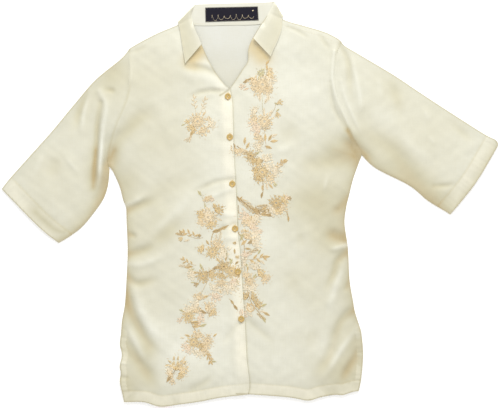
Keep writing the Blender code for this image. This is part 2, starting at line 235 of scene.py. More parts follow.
# The seam lines as they lie, in millimetres, from the neck or centre outwards or down. Right is the wearer's
# right, at -X.
RIGHT = {
    "neck": ((-109, 332), (-102, 320), (-87, 286), (-72, 254), (-58, 231), (-43, 212), (-37, 209)),
    "shoulder": ((-109, 332), (-127, 323), (-161, 309), (-184, 298), (-206, 286), (-217, 279)),
    "armhole": ((-217, 279), (-214, 238), (-220, 191), (-241, 139), (-253, 97), (-254, 67)),
    "side": ((-254, 67), (-248, 61), (-235, 33), (-228, 7), (-223, -6), (-222, -29), (-220, -83),
             (-222, -135), (-225, -180), (-230, -209), (-232, -234)),
    "vent": ((-232, -234), (-234, -253), (-230, -271), (-234, -291), (-232, -303), (-234, -318),
             (-230, -338), (-226, -356)),
    "hem": ((-226, -356), (-191, -356), (-161, -364), (-126, -360), (-90, -355), (-54, -348), (-4, -342)),
    "edge": ((-37, 209), (-32, 184), (-31, 155), (-29, 88), (-25, 14), (-22, -52), (-18, -85),
             (-16, -119), (-13, -158), (-9, -218), (-6, -277), (-1, -322), (-4, -342)),
}
LEFT = {
    "neck": ((34, 343), (18, 320), (4, 296), (-3, 278), (-4, 257), (-13, 243), (-31, 215), (-41, 203),
             (-54, 195)),
    "shoulder": ((34, 343), (57, 333), (72, 327), (129, 311), (155, 299), (164, 292)),
    "armhole": ((164, 292), (152, 266), (149, 223), (160, 173), (178, 130), (201, 88)),
    "side": ((201, 88), (186, 47), (178, 15), (173, -6), (170, -35), (176, -79), (179, -136),
             (185, -173), (189, -195), (197, -220)),
    "vent": ((197, -220), (200, -231), (203, -260), (203, -278), (201, -303), (198, -324), (195, -336)),
    "hem": ((195, -336), (183, -338), (168, -343), (152, -343), (127, -347), (104, -353), (68, -347),
            (0, -342), (-24, -341)),
}
BACK_NECK = ((-109, 332), (-99, 321), (-40, 321), (23, 324), (34, 343))


def ease(value):
    """0 below 0, 1 above 1 and smooth between."""
    t = np.clip(value, 0.0, 1.0)
    return t * t * (3.0 - 2.0 * t)


def smooth_between(a, b, c, d, t):
    """The smooth curve from b to c at the parts t, with a before it and d after it."""
    return b + 0.5 * t * (c - a + t * (2 * a - 5 * b + 4 * c - d + t * (3 * (b - c) + d - a)))


def flow(points, step=0.003):
    """The smooth line through points given in millimetres, as rows of x and y in metres, a step apart."""
    spots = np.array(points, float) * MM
    ends = np.vstack([spots[:1], spots, spots[-1:]])
    out = []
    for a, b, c, d in zip(ends, ends[1:], ends[2:], ends[3:]):
        count = max(1, round(np.hypot(*(c - b)) / step))
        out.append(smooth_between(a, b, c, d, np.arange(count)[:, None] / count))
    return np.vstack(out + [spots[-1:]])


def joined(*lines):
    """A closed outline from lines that meet end to end."""
    spots = np.vstack(lines)
    apart = np.hypot(*(spots - np.roll(spots, 1, axis=0)).T) > 1e-5
    return spots[apart]


def off_line(x, y, line):
    """How far each point is from a line, in metres, and how far along it that is nearest, from 0 to 1."""
    spans = np.hypot(*np.diff(line, axis=0).T)
    starts = np.concatenate([[0.0], np.cumsum(spans)])
    nearest = np.full(x.shape, np.inf)
    along = np.zeros(x.shape)
    for (x0, y0), (x1, y1), span, start in zip(line, line[1:], spans, starts):
        t = ((x - x0) * (x1 - x0) + (y - y0) * (y1 - y0)) / max(span * span, 1e-12)
        t = np.clip(t, 0.0, 1.0)
        gap = np.hypot(x - x0 - t * (x1 - x0), y - y0 - t * (y1 - y0))
        closer = gap < nearest
        nearest = np.where(closer, gap, nearest)
        along = np.where(closer, (start + t * span) / starts[-1], along)
    return nearest, along


def within(x, y, outline):
    """Which points are inside a closed outline."""
    inside = np.zeros(x.shape, bool)
    for (x0, y0), (x1, y1) in zip(outline, np.roll(outline, -1, axis=0)):
        if y0 != y1:
            inside ^= ((y0 > y) != (y1 > y)) & (x < x0 + (y - y0) * (x1 - x0) / (y1 - y0))
    return inside


def flat_pattern(outline, pitch):
    """Points spread evenly over an outline and the triangles between them, turning anticlockwise."""
    low = outline.min(axis=0)
    high = outline.max(axis=0)
    rise = pitch * math.sqrt(3) / 2
    rows = np.arange(1, int((high[1] - low[1]) / rise) + 1)
    columns = np.arange(0, int((high[0] - low[0]) / pitch) + 2)
    grid_x = low[0] + pitch * (columns[None, :] + 0.5 * (rows[:, None] % 2))
    grid_y = np.broadcast_to(low[1] + rise * rows[:, None], grid_x.shape)
    x = grid_x.ravel()
    y = grid_y.ravel()
    keep = within(x, y, outline)
    x = x[keep]
    y = y[keep]
    tree = kdtree.KDTree(len(outline))
    for k, (px, py) in enumerate(outline):
        tree.insert((px, py, 0), k)
    tree.balance()
    clear = [tree.find((px, py, 0))[2] > 0.6 * pitch for px, py in zip(x, y)]
    spots = [Vector(p) for p in outline] + [Vector(p) for p in np.column_stack([x, y])[clear]]
    count = len(outline)
    edges = [(k, (k + 1) % count) for k in range(count)]
    flat, _, triangles, _, _, _ = delaunay_2d_cdt(spots, edges, [list(range(count))], 1, 1e-7)
    flat = np.array([(p.x, p.y) for p in flat])
    triangles = np.array(triangles)
    a, b, c = (flat[triangles[:, k]] for k in range(3))
    turned = (b[:, 0] - a[:, 0]) * (c[:, 1] - a[:, 1]) < (b[:, 1] - a[:, 1]) * (c[:, 0] - a[:, 0])
    triangles[turned] = triangles[turned][:, ::-1]
    return flat, triangles


def rim_edges(triangles):
    """The edges that only one triangle has, each as it turns anticlockwise."""
    edges = np.vstack([triangles[:, (0, 1)], triangles[:, (1, 2)], triangles[:, (2, 0)]])
    known = {(a, b) for a, b in edges.tolist()}
    return np.array([(a, b) for a, b in edges.tolist() if (b, a) not in known])


def add_piece(name, points, faces, finish, marks=None):
    """A finished mesh object at the origin, with float marks on its points for its material to read."""
    mesh = bpy.data.meshes.new(name)
    mesh.from_pydata(points.tolist(), [], faces)
    for mark, values in (marks or {}).items():
        layer = mesh.attributes.new(mark, "FLOAT", "POINT")
        layer.data.foreach_set("value", np.asarray(values, np.float32))
    mesh.shade_smooth()
    mesh.set_sharp_from_angle(angle=math.radians(60))
    mesh.materials.append(finish)
    return placed(name, mesh)


def lay_cloth(name, outline, pitch, underside, finish, marks):
    """A thin shell of cloth over an outline. underside(x, y) gives its height, and marks(x, y) gives what
    its material reads."""
    flat, triangles = flat_pattern(outline, pitch)
    x, y = flat.T
    low = underside(x, y)
    shown = marks(x, y)
    count = len(flat)
    points = np.vstack([np.column_stack([x, y, low + CLOTH]), np.column_stack([x, y, low])])
    rim = rim_edges(triangles)
    wall = np.column_stack([rim[:, 0] + count, rim[:, 1] + count, rim[:, 1], rim[:, 0]])
    faces = triangles.tolist() + (triangles[:, ::-1] + count).tolist() + wall.tolist()
    doubled = {mark: np.concatenate([values, values]) for mark, values in shown.items()}
    return add_piece(name, points, faces, finish, doubled)


def ground(x, y):
    """The height of the back's underside, raised only where the fall of the collar lies under it."""
    sides = ease((x + 0.185) / 0.027) * ease((0.115 - x) / 0.027)
    return 0.0015 * sides * ease((y - 0.250) / 0.035)


# How jusi takes the light, which is painted into its colour. Light ivory where it lies open, painted deeper
# and warmer where it folds or is in shade, with painted highlights on its ridges, and denser cream where it
# is turned double. Slubs run along the weft and the threads show close up.
def srgb(red, green, blue):
    """A colour named by its screen values, as the shader wants it."""
    parts = [v / 255 for v in (red, green, blue)]
    return tuple(v / 12.92 if v <= 0.04045 else ((v + 0.055) / 1.055) ** 2.4 for v in parts) + (1.0,)


def add_socket(tree, name, kind="Float", way="INPUT"):
    """A socket of a node group, coming in or going out."""
    return tree.interface.new_socket(name, in_out=way, socket_type="NodeSocket" + kind)


def add_node(tree, kind, sockets=None, **settings):
    """A new node. Each of its sockets is given a value or another node's output."""
    made = tree.nodes.new(kind)
    for key, value in settings.items():
        setattr(made, key, value)
    for socket, value in (sockets or {}).items():
        if isinstance(value, bpy.types.NodeSocket):
            tree.links.new(value, made.inputs[socket])
        else:
            made.inputs[socket].default_value = value
    return made


weave = bpy.data.node_groups.new("jusi_weave", "ShaderNodeTree")
add_socket(weave, "Place", "Vector")
add_socket(weave, "Threads per metre")
for measure in ("Threads", "Slubs", "Cloudiness"):
    add_socket(weave, measure, way="OUTPUT")
weave_place = add_node(weave, "NodeGroupInput").outputs
thread_scale = add_node(weave, "ShaderNodeVectorMath", {
    0: weave_place["Place"], "Scale": weave_place["Threads per metre"]}, operation="SCALE")
warp_and_weft = [
    add_node(weave, "ShaderNodeTexWave", {
        "Scale": 0.314, "Distortion": 0.6, "Vector": thread_scale.outputs["Vector"],
    }, bands_direction=direction, wave_profile="SIN").outputs["Fac"]
    for direction in ("X", "Y")
]
crossing = add_node(weave, "ShaderNodeMath", dict(enumerate(warp_and_weft)), operation="MULTIPLY")
slubs = []
for stretch in ((60, 900, 60), (900, 45, 60)):
    stretched = add_node(weave, "ShaderNodeMapping", {"Scale": stretch, "Vector": weave_place["Place"]})
    slubs.append(add_node(weave, "ShaderNodeTexNoise", {
        "Scale": 1.0, "Detail": 2.0, "Vector": stretched.outputs["Vector"]}).outputs["Fac"])
slub_sum = add_node(weave, "ShaderNodeMath", dict(enumerate(slubs)), operation="ADD")
slub_range = add_node(weave, "ShaderNodeMapRange", {
    "From Min": 0.75, "From Max": 1.25, "Value": slub_sum.outputs["Value"]})
cloud = add_node(weave, "ShaderNodeTexNoise", {
    "Scale": 22.0, "Detail": 4.0, "Vector": weave_place["Place"]})
cloud_range = add_node(weave, "ShaderNodeMapRange", {
    "From Min": 0.3, "From Max": 0.7, "Value": cloud.outputs["Fac"]})
add_node(weave, "NodeGroupOutput", {
    "Threads": crossing.outputs["Value"], "Slubs": slub_range.outputs["Result"],
    "Cloudiness": cloud_range.outputs["Result"]})


def blend_colour(tree, amount, first, second):
    """A mix of two colours by a 0 to 1 output. Each colour is a value or another node's output."""
    mix = add_node(tree, "ShaderNodeMix", data_type="RGBA")
    tree.links.new(amount, mix.inputs["Factor"])
    for socket, colour in ((mix.inputs["A"], first), (mix.inputs["B"], second)):
        if isinstance(colour, tuple):
            socket.default_value = colour
        else:
            tree.links.new(colour, socket)
    return mix.outputs["Result"]


def woven(tree, threads_per_metre):
    """The outputs of the weave, laid in the object's own plane."""
    place = add_node(tree, "ShaderNodeTexCoord")
    made = add_node(tree, "ShaderNodeGroup", node_tree=weave)
    made.inputs["Threads per metre"].default_value = threads_per_metre
    tree.links.new(place.outputs["Object"], made.inputs["Place"])
    return made.outputs


def jusi(name, open_colour, double_colour, sheen=0.25):
    """A cloth material that reads the marks shade, light, double, warm and dim from its piece's points. All but double
    are painted shade or painted highlight.
    """
    made, tree, shader = finish_of(name, {
        "Roughness": 0.55, "Specular IOR Level": 0.35, "Sheen Weight": sheen, "Sheen Roughness": 0.45,
        "Sheen Tint": (1.0, 0.97, 0.90, 1),
    })
    threads = woven(tree, JUSI_COUNT)
    marks = {}
    for mark in ("shade", "light", "double", "warm", "dim"):
        marks[mark] = add_node(tree, "ShaderNodeAttribute", attribute_name=mark).outputs["Fac"]
    # the cloth's own cloudiness, added into the painted shade
    cloudiness_and_shade = add_node(tree, "ShaderNodeMath", {0: threads["Cloudiness"], 1: 0.07, 2: marks["shade"]},
                      operation="MULTIPLY_ADD", use_clamp=True)
    colour = blend_colour(tree, marks["double"], open_colour, double_colour)
    for low, high, deeper in ((0.0, 0.5, HALF_SHADE_AND_SLUBS), (0.5, 1.0, DEEP_SHADE)):
        half = add_node(tree, "ShaderNodeMapRange", {
            "From Min": low, "From Max": high, "Value": cloudiness_and_shade.outputs["Value"]})
        colour = blend_colour(tree, half.outputs["Result"], colour, deeper)
    for mark, tint in (("light", GLEAM), ("warm", WARM_SHADE), ("dim", GREY_SHADE)):
        colour = blend_colour(tree, marks[mark], colour, tint)
    streaks = add_node(tree, "ShaderNodeMath", {0: threads["Slubs"], 1: 0.16}, operation="MULTIPLY")
    colour = blend_colour(tree, streaks.outputs["Value"], colour, HALF_SHADE_AND_SLUBS)
    tree.links.new(colour, shader.inputs["Base Color"])
    height = add_node(tree, "ShaderNodeMath", {0: threads["Slubs"], 1: 0.6, 2: threads["Threads"]},
                      operation="MULTIPLY_ADD")
    bump = add_node(tree, "ShaderNodeBump", {
        "Strength": 0.22, "Distance": 0.00025, "Height": height.outputs["Value"]})
    tree.links.new(bump.outputs["Normal"], shader.inputs["Normal"])
    return made


# Ivory is the cloth's own colour and cream its colour where doubled. Half and deep shade, the warm shade and the grey
# shade are painted shade, and the gleam is a painted highlight; the slubs take the half-shade colour too.
IVORY = srgb(224, 223, 208)
HALF_SHADE_AND_SLUBS = srgb(205, 200, 173)
DEEP_SHADE = srgb(184, 164, 118)
CREAM = srgb(244, 240, 222)
GLEAM = srgb(240, 240, 228)
WARM_SHADE = srgb(214, 193, 143)
GREY_SHADE = srgb(176, 177, 164)
ivory_cloth = jusi("ivory_jusi", IVORY, CREAM)
# The single layer is a cooler, greyer ivory: partly the thinner look of one layer, partly painted shade where it shows
# inside the neck under the fronts and the collar.
single_shaded_cloth = jusi("ivory_jusi_single", srgb(221, 222, 215), CREAM, sheen=0.1)

body_outline = joined(
    flow(BACK_NECK[::-1]),
    flow(RIGHT["shoulder"]),
    flow(RIGHT["armhole"]),
    flow(RIGHT["side"]),
    flow(RIGHT["vent"])[:-1],
    flow([(x, y + 2) for x, y in RIGHT["hem"] + LEFT["hem"][-2::-1]]),
    flow(LEFT["vent"])[-2::-1],
    flow(LEFT["side"])[::-1],
    flow(LEFT["armhole"])[::-1],
    flow(LEFT["shoulder"])[::-1],
)


def back_marks(x, y):
    """The back is turned double at its hem and vents, and shaded a little below the open neck."""
    hem, _ = off_line(x, y, flow(RIGHT["hem"] + LEFT["hem"][-2::-1], 0.02))
    neck_shade = 0.18 * ease((0.31 - y) / 0.1)
    return {"shade": neck_shade, "light": np.zeros(x.shape), "double": ease((HEM - hem) / 0.001)}


back = lay_cloth("back", body_outline, BACK_PITCH, ground, single_shaded_cloth, back_marks)
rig.ride(back, "root")
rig.replaces(back, "back_panel")
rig.slot(back, "jusi_cloth")

# ---------------------------------------------------------------- the two fronts
# Each front is one piece of jusi, with its centre edge, hem and vent turned under. The wearer's right front
# laps over the left one. Both are pulled by the buttons and by the side seams, and the cloth between has air
# under it.
FRONT_PITCH = 0.0021
FACING = 0.019          # the turned-under centre edge of the right front
LAP = 0.018             # how far the left front runs under the right one
LEFT_FACING = 0.014     # the left front's own turned-under edge
TURNED_LIFT = 0.0003    # how much higher the cloth stands where it is double
STITCH_DENT = 0.0003
BAND_STEP = 0.0012      # how soon a turned band begins
FOLD_SHADE = 0.0014     # width of the shade on a folded or turned edge

# The creases of the blouse: a ridge where height is above 0, a trough where it is below, in millimetres. A
# crease starts at its first point with the part start of its height, and fades out at its last.
Crease = namedtuple("Crease", "height width start path")
CREASES = [Crease(*row) for row in (
    # the right sleeve
    (-2.6, 7, 0.6, ((-293, 200), (-310, 157), (-311, 126))),
    (2.2, 6, 0.6, ((-288, 200), (-299, 157), (-302, 106))),
    (3.2, 7, 0.7, ((-270, 202), (-258, 175), (-263, 139), (-268, 97), (-271, 40), (-273, -6))),
    (-4.2, 5, 0.5, ((-268, 182), (-274, 142), (-276, 97), (-280, 43), (-280, 0))),
    (2.4, 5, 0.2, ((-263, 132), (-267, 84), (-270, 40), (-271, 16))),
    (-2.0, 5, 0.6, ((-257, 205), (-239, 202))),
    (1.2, 5, 0.3, ((-333, 85), (-301, 49))),
    (-1.6, 14, 0.4, ((-347, 88), (-360, 40))),
    (-2.4, 9, 0.5, ((-263, 65), (-270, 14), (-295, -27))),
    (1.0, 8, 0.3, ((-369, 97), (-396, 34))),
    # the right side of the chest
    (1.8, 4, 0.8, ((-216, 268), (-214, 232), (-221, 187))),
    (-3.2, 14, 1.0, ((-252, 79), (-241, 110), (-220, 133), (-194, 157), (-149, 166))),
    (-2.0, 20, 0.4, ((-198, -2), (-153, 25), (-99, 50), (-68, 58))),
    (1.8, 12, 0.4, ((-191, -68), (-160, -38), (-124, -5), (-99, 20), (-61, 36))),
    (2.0, 12, 1.0, ((-40, 209), (-76, 227), (-117, 236), (-162, 274))),
    (-1.8, 6, 0.9, ((-112, 247), (-85, 243), (-59, 232), (-47, 216))),
    (1.6, 6, 0.8, ((-95, 254), (-74, 250), (-56, 229))),
    (-1.2, 5, 0.5, ((-214, 274), (-180, 283))),
    # the right side of the waist, down to the hem
    (-3.0, 9, 1.0, ((-227, -14), (-207, -5), (-160, 11))),
    (2.0, 7, 1.0, ((-227, -2), (-212, 2), (-180, 20))),
    (-2.6, 5, 1.0, ((-225, -54), (-218, -54), (-200, -61))),
    (-3.2, 8, 1.0, ((-227, -90), (-198, -86), (-162, -70))),
    (-2.0, 14, 0.3, ((-180, -74), (-155, -58), (-108, -23))),
    (1.8, 8, 0.8, ((-225, -106), (-196, -108), (-166, -97), (-135, -83))),
    (-3.2, 8, 1.0, ((-227, -122), (-207, -142), (-185, -140), (-157, -130))),
    (-5.0, 11, 1.0, ((-227, -155), (-211, -198), (-191, -236), (-178, -252), (-158, -279))),
    (2.8, 14, 0.6, ((-210, -149), (-194, -196), (-169, -238), (-144, -281))),
    (-3.6, 12, 0.8, ((-225, -250), (-207, -275), (-180, -311), (-166, -353))),
    (2.0, 8, 0.5, ((-221, -218), (-198, -263), (-175, -302))),
    (-1.6, 4, 1.0, ((-236, -261), (-216, -266))),
    (1.2, 4, 1.0, ((-236, -284), (-218, -288))),
    (-1.6, 4, 1.0, ((-236, -311), (-214, -313))),
    (-2.0, 7, 0.8, ((-103, -333), (-76, -317), (-63, -299))),
    (1.5, 20, 0.3, ((-180, -205), (-140, -266))),
    # the pulls at the buttons
    (-2.2, 5, 1.0, ((-40, 202), (-72, 203), (-95, 198), (-122, 185))),
    (1.0, 9, 1.0, ((-36, 103), (-81, 101))),
    (-2.0, 5, 1.0, ((-32, 44), (-59, 40), (-81, 31), (-112, 18))),
    (1.5, 6, 1.0, ((-34, 27), (-63, 16), (-90, 2))),
    (-2.0, 5, 1.0, ((-27, -36), (-49, -44), (-65, -50))),
    (1.6, 6, 1.0, ((-31, -20), (-50, -18), (-72, -11))),
    (1.5, 6, 1.0, ((-25, -61), (-47, -61), (-68, -70))),
    (-1.4, 6, 1.0, ((-16, -212), (-40, -238), (-50, -266))),
    (-1.6, 7, 1.0, ((-2, -211), (22, -232), (52, -254))),
    # the left shoulder and armhole
    (-1.6, 4, 0.6, ((67, 319), (90, 308), (112, 293))),
    (-1.6, 4, 0.6, ((126, 302), (144, 275))),
    (2.2, 4, 1.0, ((151, 274), (148, 223), (158, 182), (180, 139), (209, 103))),
    (1.6, 4, 0.8, ((164, 220), (171, 191), (194, 139), (212, 104))),
    (-1.8, 4, 0.8, ((144, 218), (149, 175), (175, 130), (198, 94))),
    # the left sleeve
    (-2.4, 5, 0.9, ((162, 288), (176, 254), (180, 200), (193, 173))),
    (2.2, 6, 0.5, ((184, 259), (196, 202), (200, 166), (209, 142))),
    (1.0, 8, 0.3, ((229, 232), (236, 193), (239, 176))),
    (-1.6, 9, 0.4, ((256, 216), (266, 178), (274, 151))),
    (-2.6, 18, 0.6, ((202, 162), (221, 126), (256, 97), (284, 61), (329, 22), (353, 0))),
    (1.2, 16, 0.4, ((256, 137), (297, 97), (328, 68), (342, 50))),
    (1.0, 5, 0.3, ((313, 169), (324, 144))),
    (1.0, 5, 0.3, ((320, 122), (337, 103))),
    (-2.2, 5, 0.6, ((331, 32), (360, 34), (371, 43))),
    (-1.4, 7, 0.5, ((369, 139), (403, 108))),
    # the left side of the chest
    (-1.4, 18, 0.3, ((50, 119), (95, 137))),
    (-4.0, 12, 1.0, ((203, 83), (180, 104), (151, 128))),
    (-3.0, 18, 1.0, ((194, 76), (144, 76), (68, 68))),
    (1.4, 9, 0.3, ((40, 94), (86, 104))),
    (1.2, 5, 0.5, ((139, 50), (131, 18))),
    # the left side of the waist, down to the hem
    (-2.6, 8, 1.0, ((176, 9), (158, -9), (140, -16))),
    (-3.6, 11, 1.0, ((176, -61), (153, -58), (130, -45))),
    (2.2, 6, 1.0, ((176, -73), (155, -79), (135, -83))),
    (-3.2, 7, 1.0, ((178, -85), (157, -103), (148, -131), (128, -162))),
    (2.4, 9, 0.6, ((173, -104), (155, -144), (144, -182), (137, -221))),
    (-3.6, 9, 1.0, ((193, -187), (167, -207), (155, -230), (144, -268), (128, -292), (106, -324))),
    (2.4, 8, 0.7, ((193, -221), (162, -263), (139, -301), (119, -329))),
    (-3.2, 8, 0.8, ((193, -268), (173, -302), (160, -331))),
    (-2.6, 5, 1.0, ((182, -130), (169, -162))),
    (-1.2, 16, 0.2, ((77, -115), (74, -173))),
    (-1.4, 18, 0.3, ((99, -236), (130, -245))),
    (1.0, 10, 0.3, ((49, -263), (47, -302))),
    (-1.0, 8, 0.3, ((90, -50), (90, -83))),
)]

# The sleeves' outlines, in millimetres, from the armhole outwards.
SLEEVE_RIGHT = {
    "top": ((-217, 279), (-232, 261), (-278, 223), (-317, 178), (-355, 132), (-396, 86), (-430, 48),
            (-446.5, 27)),
    "cuff": ((-446.5, 27), (-391, -30), (-365, -54), (-344, -70)),
    "under": ((-254, 67), (-253, 58), (-256, 32), (-264, 9), (-281, -16), (-302, -41), (-324, -58),
              (-344, -70)),
}
SLEEVE_LEFT = {
    "top": ((164, 292), (171, 284), (196, 269), (258, 232), (300, 204), (344, 175), (419, 127), (442, 115),
            (446.5, 106)),
    "cuff": ((446.5, 106), (405, 37), (360, -19)),
    "under": ((201, 88), (227, 64), (287, 33), (320, 6), (353, -14), (360, -19)),
}

shut_edges = [flow(line, 0.01) for line in (
    RIGHT["shoulder"], RIGHT["side"], LEFT["shoulder"], LEFT["side"],
    SLEEVE_RIGHT["top"], SLEEVE_RIGHT["under"], SLEEVE_LEFT["top"], SLEEVE_LEFT["under"],
)]
open_edges = [flow(line, 0.01) for line in (
    RIGHT["neck"], RIGHT["vent"], RIGHT["hem"], LEFT["neck"], LEFT["vent"], LEFT["hem"],
    SLEEVE_RIGHT["cuff"], SLEEVE_LEFT["cuff"],
)]
crease_lines = [flow(crease.path, 0.008) for crease in CREASES]
right_edge = flow(RIGHT["edge"])

ripples = np.random.default_rng(11)
RIPPLES = [
    (size, ripples.uniform(*turns), ripples.uniform(0, 2 * math.pi), ripples.uniform(0, 2 * math.pi))
    for size, turns, count in ((0.00011, (70, 240), 26), (0.00007, (240, 460), 18)) for _ in range(count)
]


def swell(gap, reach):
    """1 where a gap is 0, falling off smoothly on both sides of it over a reach."""
    return np.exp(-(gap / reach) ** 2)


def rumple(x, y):
    """The fine unevenness of cloth that has been folded and smoothed out, in metres."""
    height = np.zeros(x.shape)
    for size, turns, direction, phase in RIPPLES:
        across = math.cos(direction) * x + math.sin(direction) * y
        height += size * math.sqrt(90 / turns) * np.sin(turns * across + phase)
    return height


def lie(x, y):
    """How high the upper cloth's underside stands over the back, and how far each point is in a trough or
    on a ridge."""
    shut = np.min([off_line(x, y, line)[0] for line in shut_edges], axis=0)
    free = np.min([off_line(x, y, line)[0] for line in open_edges], axis=0)
    air = 0.0030 * (1 - np.exp(-shut / 0.012)) + 0.0034 * (1 - np.exp(-shut / 0.05))
    height = 0.0007 + air * (0.40 + 0.60 * ease(free / 0.045))
    folds = np.zeros(x.shape)
    trough = np.zeros(x.shape)
    ridge = np.zeros(x.shape)
    for crease, line in zip(CREASES, crease_lines):
        reach = 2.5 * crease.width * MM
        low = line.min(axis=0) - reach
        high = line.max(axis=0) + reach
        near = np.flatnonzero((x > low[0]) & (x < high[0]) & (y > low[1]) & (y < high[1]))
        if len(near) == 0:
            continue
        gap, along = off_line(x[near], y[near], line)
        start = crease.start + (1 - crease.start) * ease(along / 0.3)
        part = start * ease((1 - along) / 0.5) * swell(gap, crease.width * MM)
        folds[near] += crease.height * MM * part
        if crease.height < 0:
            trough[near] += -crease.height / 4.0 * part
        else:
            ridge[near] += crease.height / 5.0 * part ** 2
    calm = ease(shut / 0.012)
    height += (0.25 + 0.75 * calm) * folds + (0.2 + 0.8 * calm) * rumple(x, y)
    floor = 0.0006
    height = floor + np.logaddexp(0.0, (height - floor) / 0.0006) * 0.0006
    height -= 0.0005 * swell(shut, 0.0025)
    return height, np.clip(trough, 0, 1.2), np.clip(ridge, 0, 1)


def mottle(x, y):
    """A soft unevenness from -1 to 1, for how closely the cloth lies on what is under it."""
    return np.clip(rumple(x, y) / 0.0005, -1, 1)


def puckers(x, y, line, width):
    """The pull of the stitches along a turned band: small ripples square to it."""
    gap, part = off_line(x, y, line)
    run = part * np.hypot(*np.diff(line, axis=0).T).sum()
    wave = np.sin(2 * math.pi * run / 0.013 + 2.5 * np.sin(2 * math.pi * run / 0.047))
    return 0.00022 * wave * swell(gap - 0.6 * width, 0.7 * width)


def edge_side(x, y):
    """How far a point is inside the right front's centre edge, towards -X. It is below 0 past the edge."""
    return np.interp(-y, -right_edge[:, 1], right_edge[:, 0]) - x


def band(x, y, line, width):
    """1 within a turned band along a line, and 0 past it, with a sharp step between."""
    return ease((width - off_line(x, y, line)[0]) / BAND_STEP + 0.5)


def stitch_dent(x, y, line, width):
    """The dent along a row of stitches that runs at this distance from a line."""
    return STITCH_DENT * swell(off_line(x, y, line)[0] - width, BAND_STEP)


def cloth_marks(x, y, doubled):
    """What the cloth's material reads: painted shade, a painted highlight on ridges and flat places, how far it is
    turned double, and painted warm and grey shade.
    """
    _, trough, ridge = lie(x, y)
    shade = np.zeros(x.shape)
    for line, reach, amount in SHADED_LINES:
        shade = np.maximum(shade, amount * np.exp(-off_line(x, y, line)[0] / (reach * MM)))
    light = np.zeros(x.shape)
    for mark, places in ((shade, SHADED_PLACES), (light, BRIGHT_PLACES)):
        for place_x, place_y, reach, amount in places:
            away2 = (x - place_x * MM) ** 2 + (y - place_y * MM) ** 2
            mark += amount * np.exp(-away2 / (reach * MM) ** 2)
    for line in (armhole_right, armhole_left):
        shade += 0.25 * swell(off_line(x, y, line)[0], 0.0016)
    # painted shade in the troughs of the creases
    shade = np.clip(0.42 * trough + shade, 0, 1)
    rim = np.min([off_line(x, y, line)[0] for line in shut_edges + open_edges], axis=0)
    doubled = np.clip(doubled * (0.9 + 0.25 * mottle(x, y)), 0, 1)
    shade *= 1 - 0.35 * ease((doubled - 0.6) / 0.2)
    # painted shade along every edge of the cloth; the grey shade below is painted there too
    shade = np.maximum(shade, np.minimum(shade + 0.85 * swell(rim, FOLD_SHADE), 0.76))
    warm = np.zeros(x.shape)
    for line, reach, amount in WARM_LINES:
        warm = np.maximum(warm, amount * swell(off_line(x, y, line)[0], reach * MM))
    dim = 0.32 * swell(rim, FOLD_SHADE)
    for line, reach, amount in DIM_LINES:
        dim = np.maximum(dim, amount * np.exp(-off_line(x, y, line)[0] / (reach * MM)))
    # painted highlights on the ridges of the creases
    light = np.clip(light + ridge, 0, 1)
    return {"shade": shade, "light": light, "double": doubled, "warm": warm, "dim": dim}


def soft_lines(*rows):
    """Lines of shade or tint through points, each with its reach in millimetres and its amount."""
    return [(flow(points, 0.01), reach, amount) for points, reach, amount in rows]


# Where the blouse is in shade as it lies: along these lines, and around the places further down, which are
# x, y, reach and amount. An amount of 0.5 is half shade and 1 the deepest.
SHADED_LINES = soft_lines(
    (RIGHT["side"], 15, 0.52),
    (RIGHT["side"], 3, 0.66),
    (LEFT["side"], 18, 0.56),
    (LEFT["side"], 3.5, 0.80),
    (SLEEVE_LEFT["under"], 3, 0.85),
    (((-254, 70), (-253, 52), (-257, 28), (-265, 8)), 5, 1.1),
    (((-277, 96), (-281, 60), (-282, 30)), 8, 0.60),
    (((-386, -14), (-352, -45), (-334, -50)), 12, 0.50),
    (SLEEVE_RIGHT["under"], 13, 0.74),
    (SLEEVE_LEFT["under"], 24, 0.58),
    (SLEEVE_LEFT["cuff"], 9, 0.50),
    (RIGHT["hem"] + LEFT["hem"][-2::-1], 16, 0.36),
    (RIGHT["vent"], 30, 0.34),
    (LEFT["vent"], 32, 0.46),
    (((-258, 64), (-252, 80), (-244, 96)), 9, 0.62),
    (((204, 86), (195, 98), (186, 112)), 16, 0.72),
    (((202, 86), (193, 100), (184, 116), (176, 132)), 5, 1.1),
    (((200, 80), (170, 92), (150, 98)), 22, 0.45),
    (((-84, 286), (-92, 274), (-108, 258)), 9, 0.5),
    (((-114, 246), (-100, 242)), 13, 0.5),
)
# Painted grey shade where the cloth turns away over an edge or into a hollow.
DIM_LINES = soft_lines(
    (SLEEVE_RIGHT["top"], 11, 0.32),
    (SLEEVE_LEFT["top"], 9, 0.34),
    (RIGHT["shoulder"], 5, 0.34),
    (LEFT["shoulder"], 5, 0.26),
    (((-262, 150), (-250, 100), (-256, 50)), 26, 0.24),
    (((182, 112), (200, 92), (196, 60)), 18, 0.24),
    (((70, 300), (130, 250), (150, 150)), 60, 0.12),
    (((176, 0), (178, -100), (190, -240)), 26, 0.16),
)
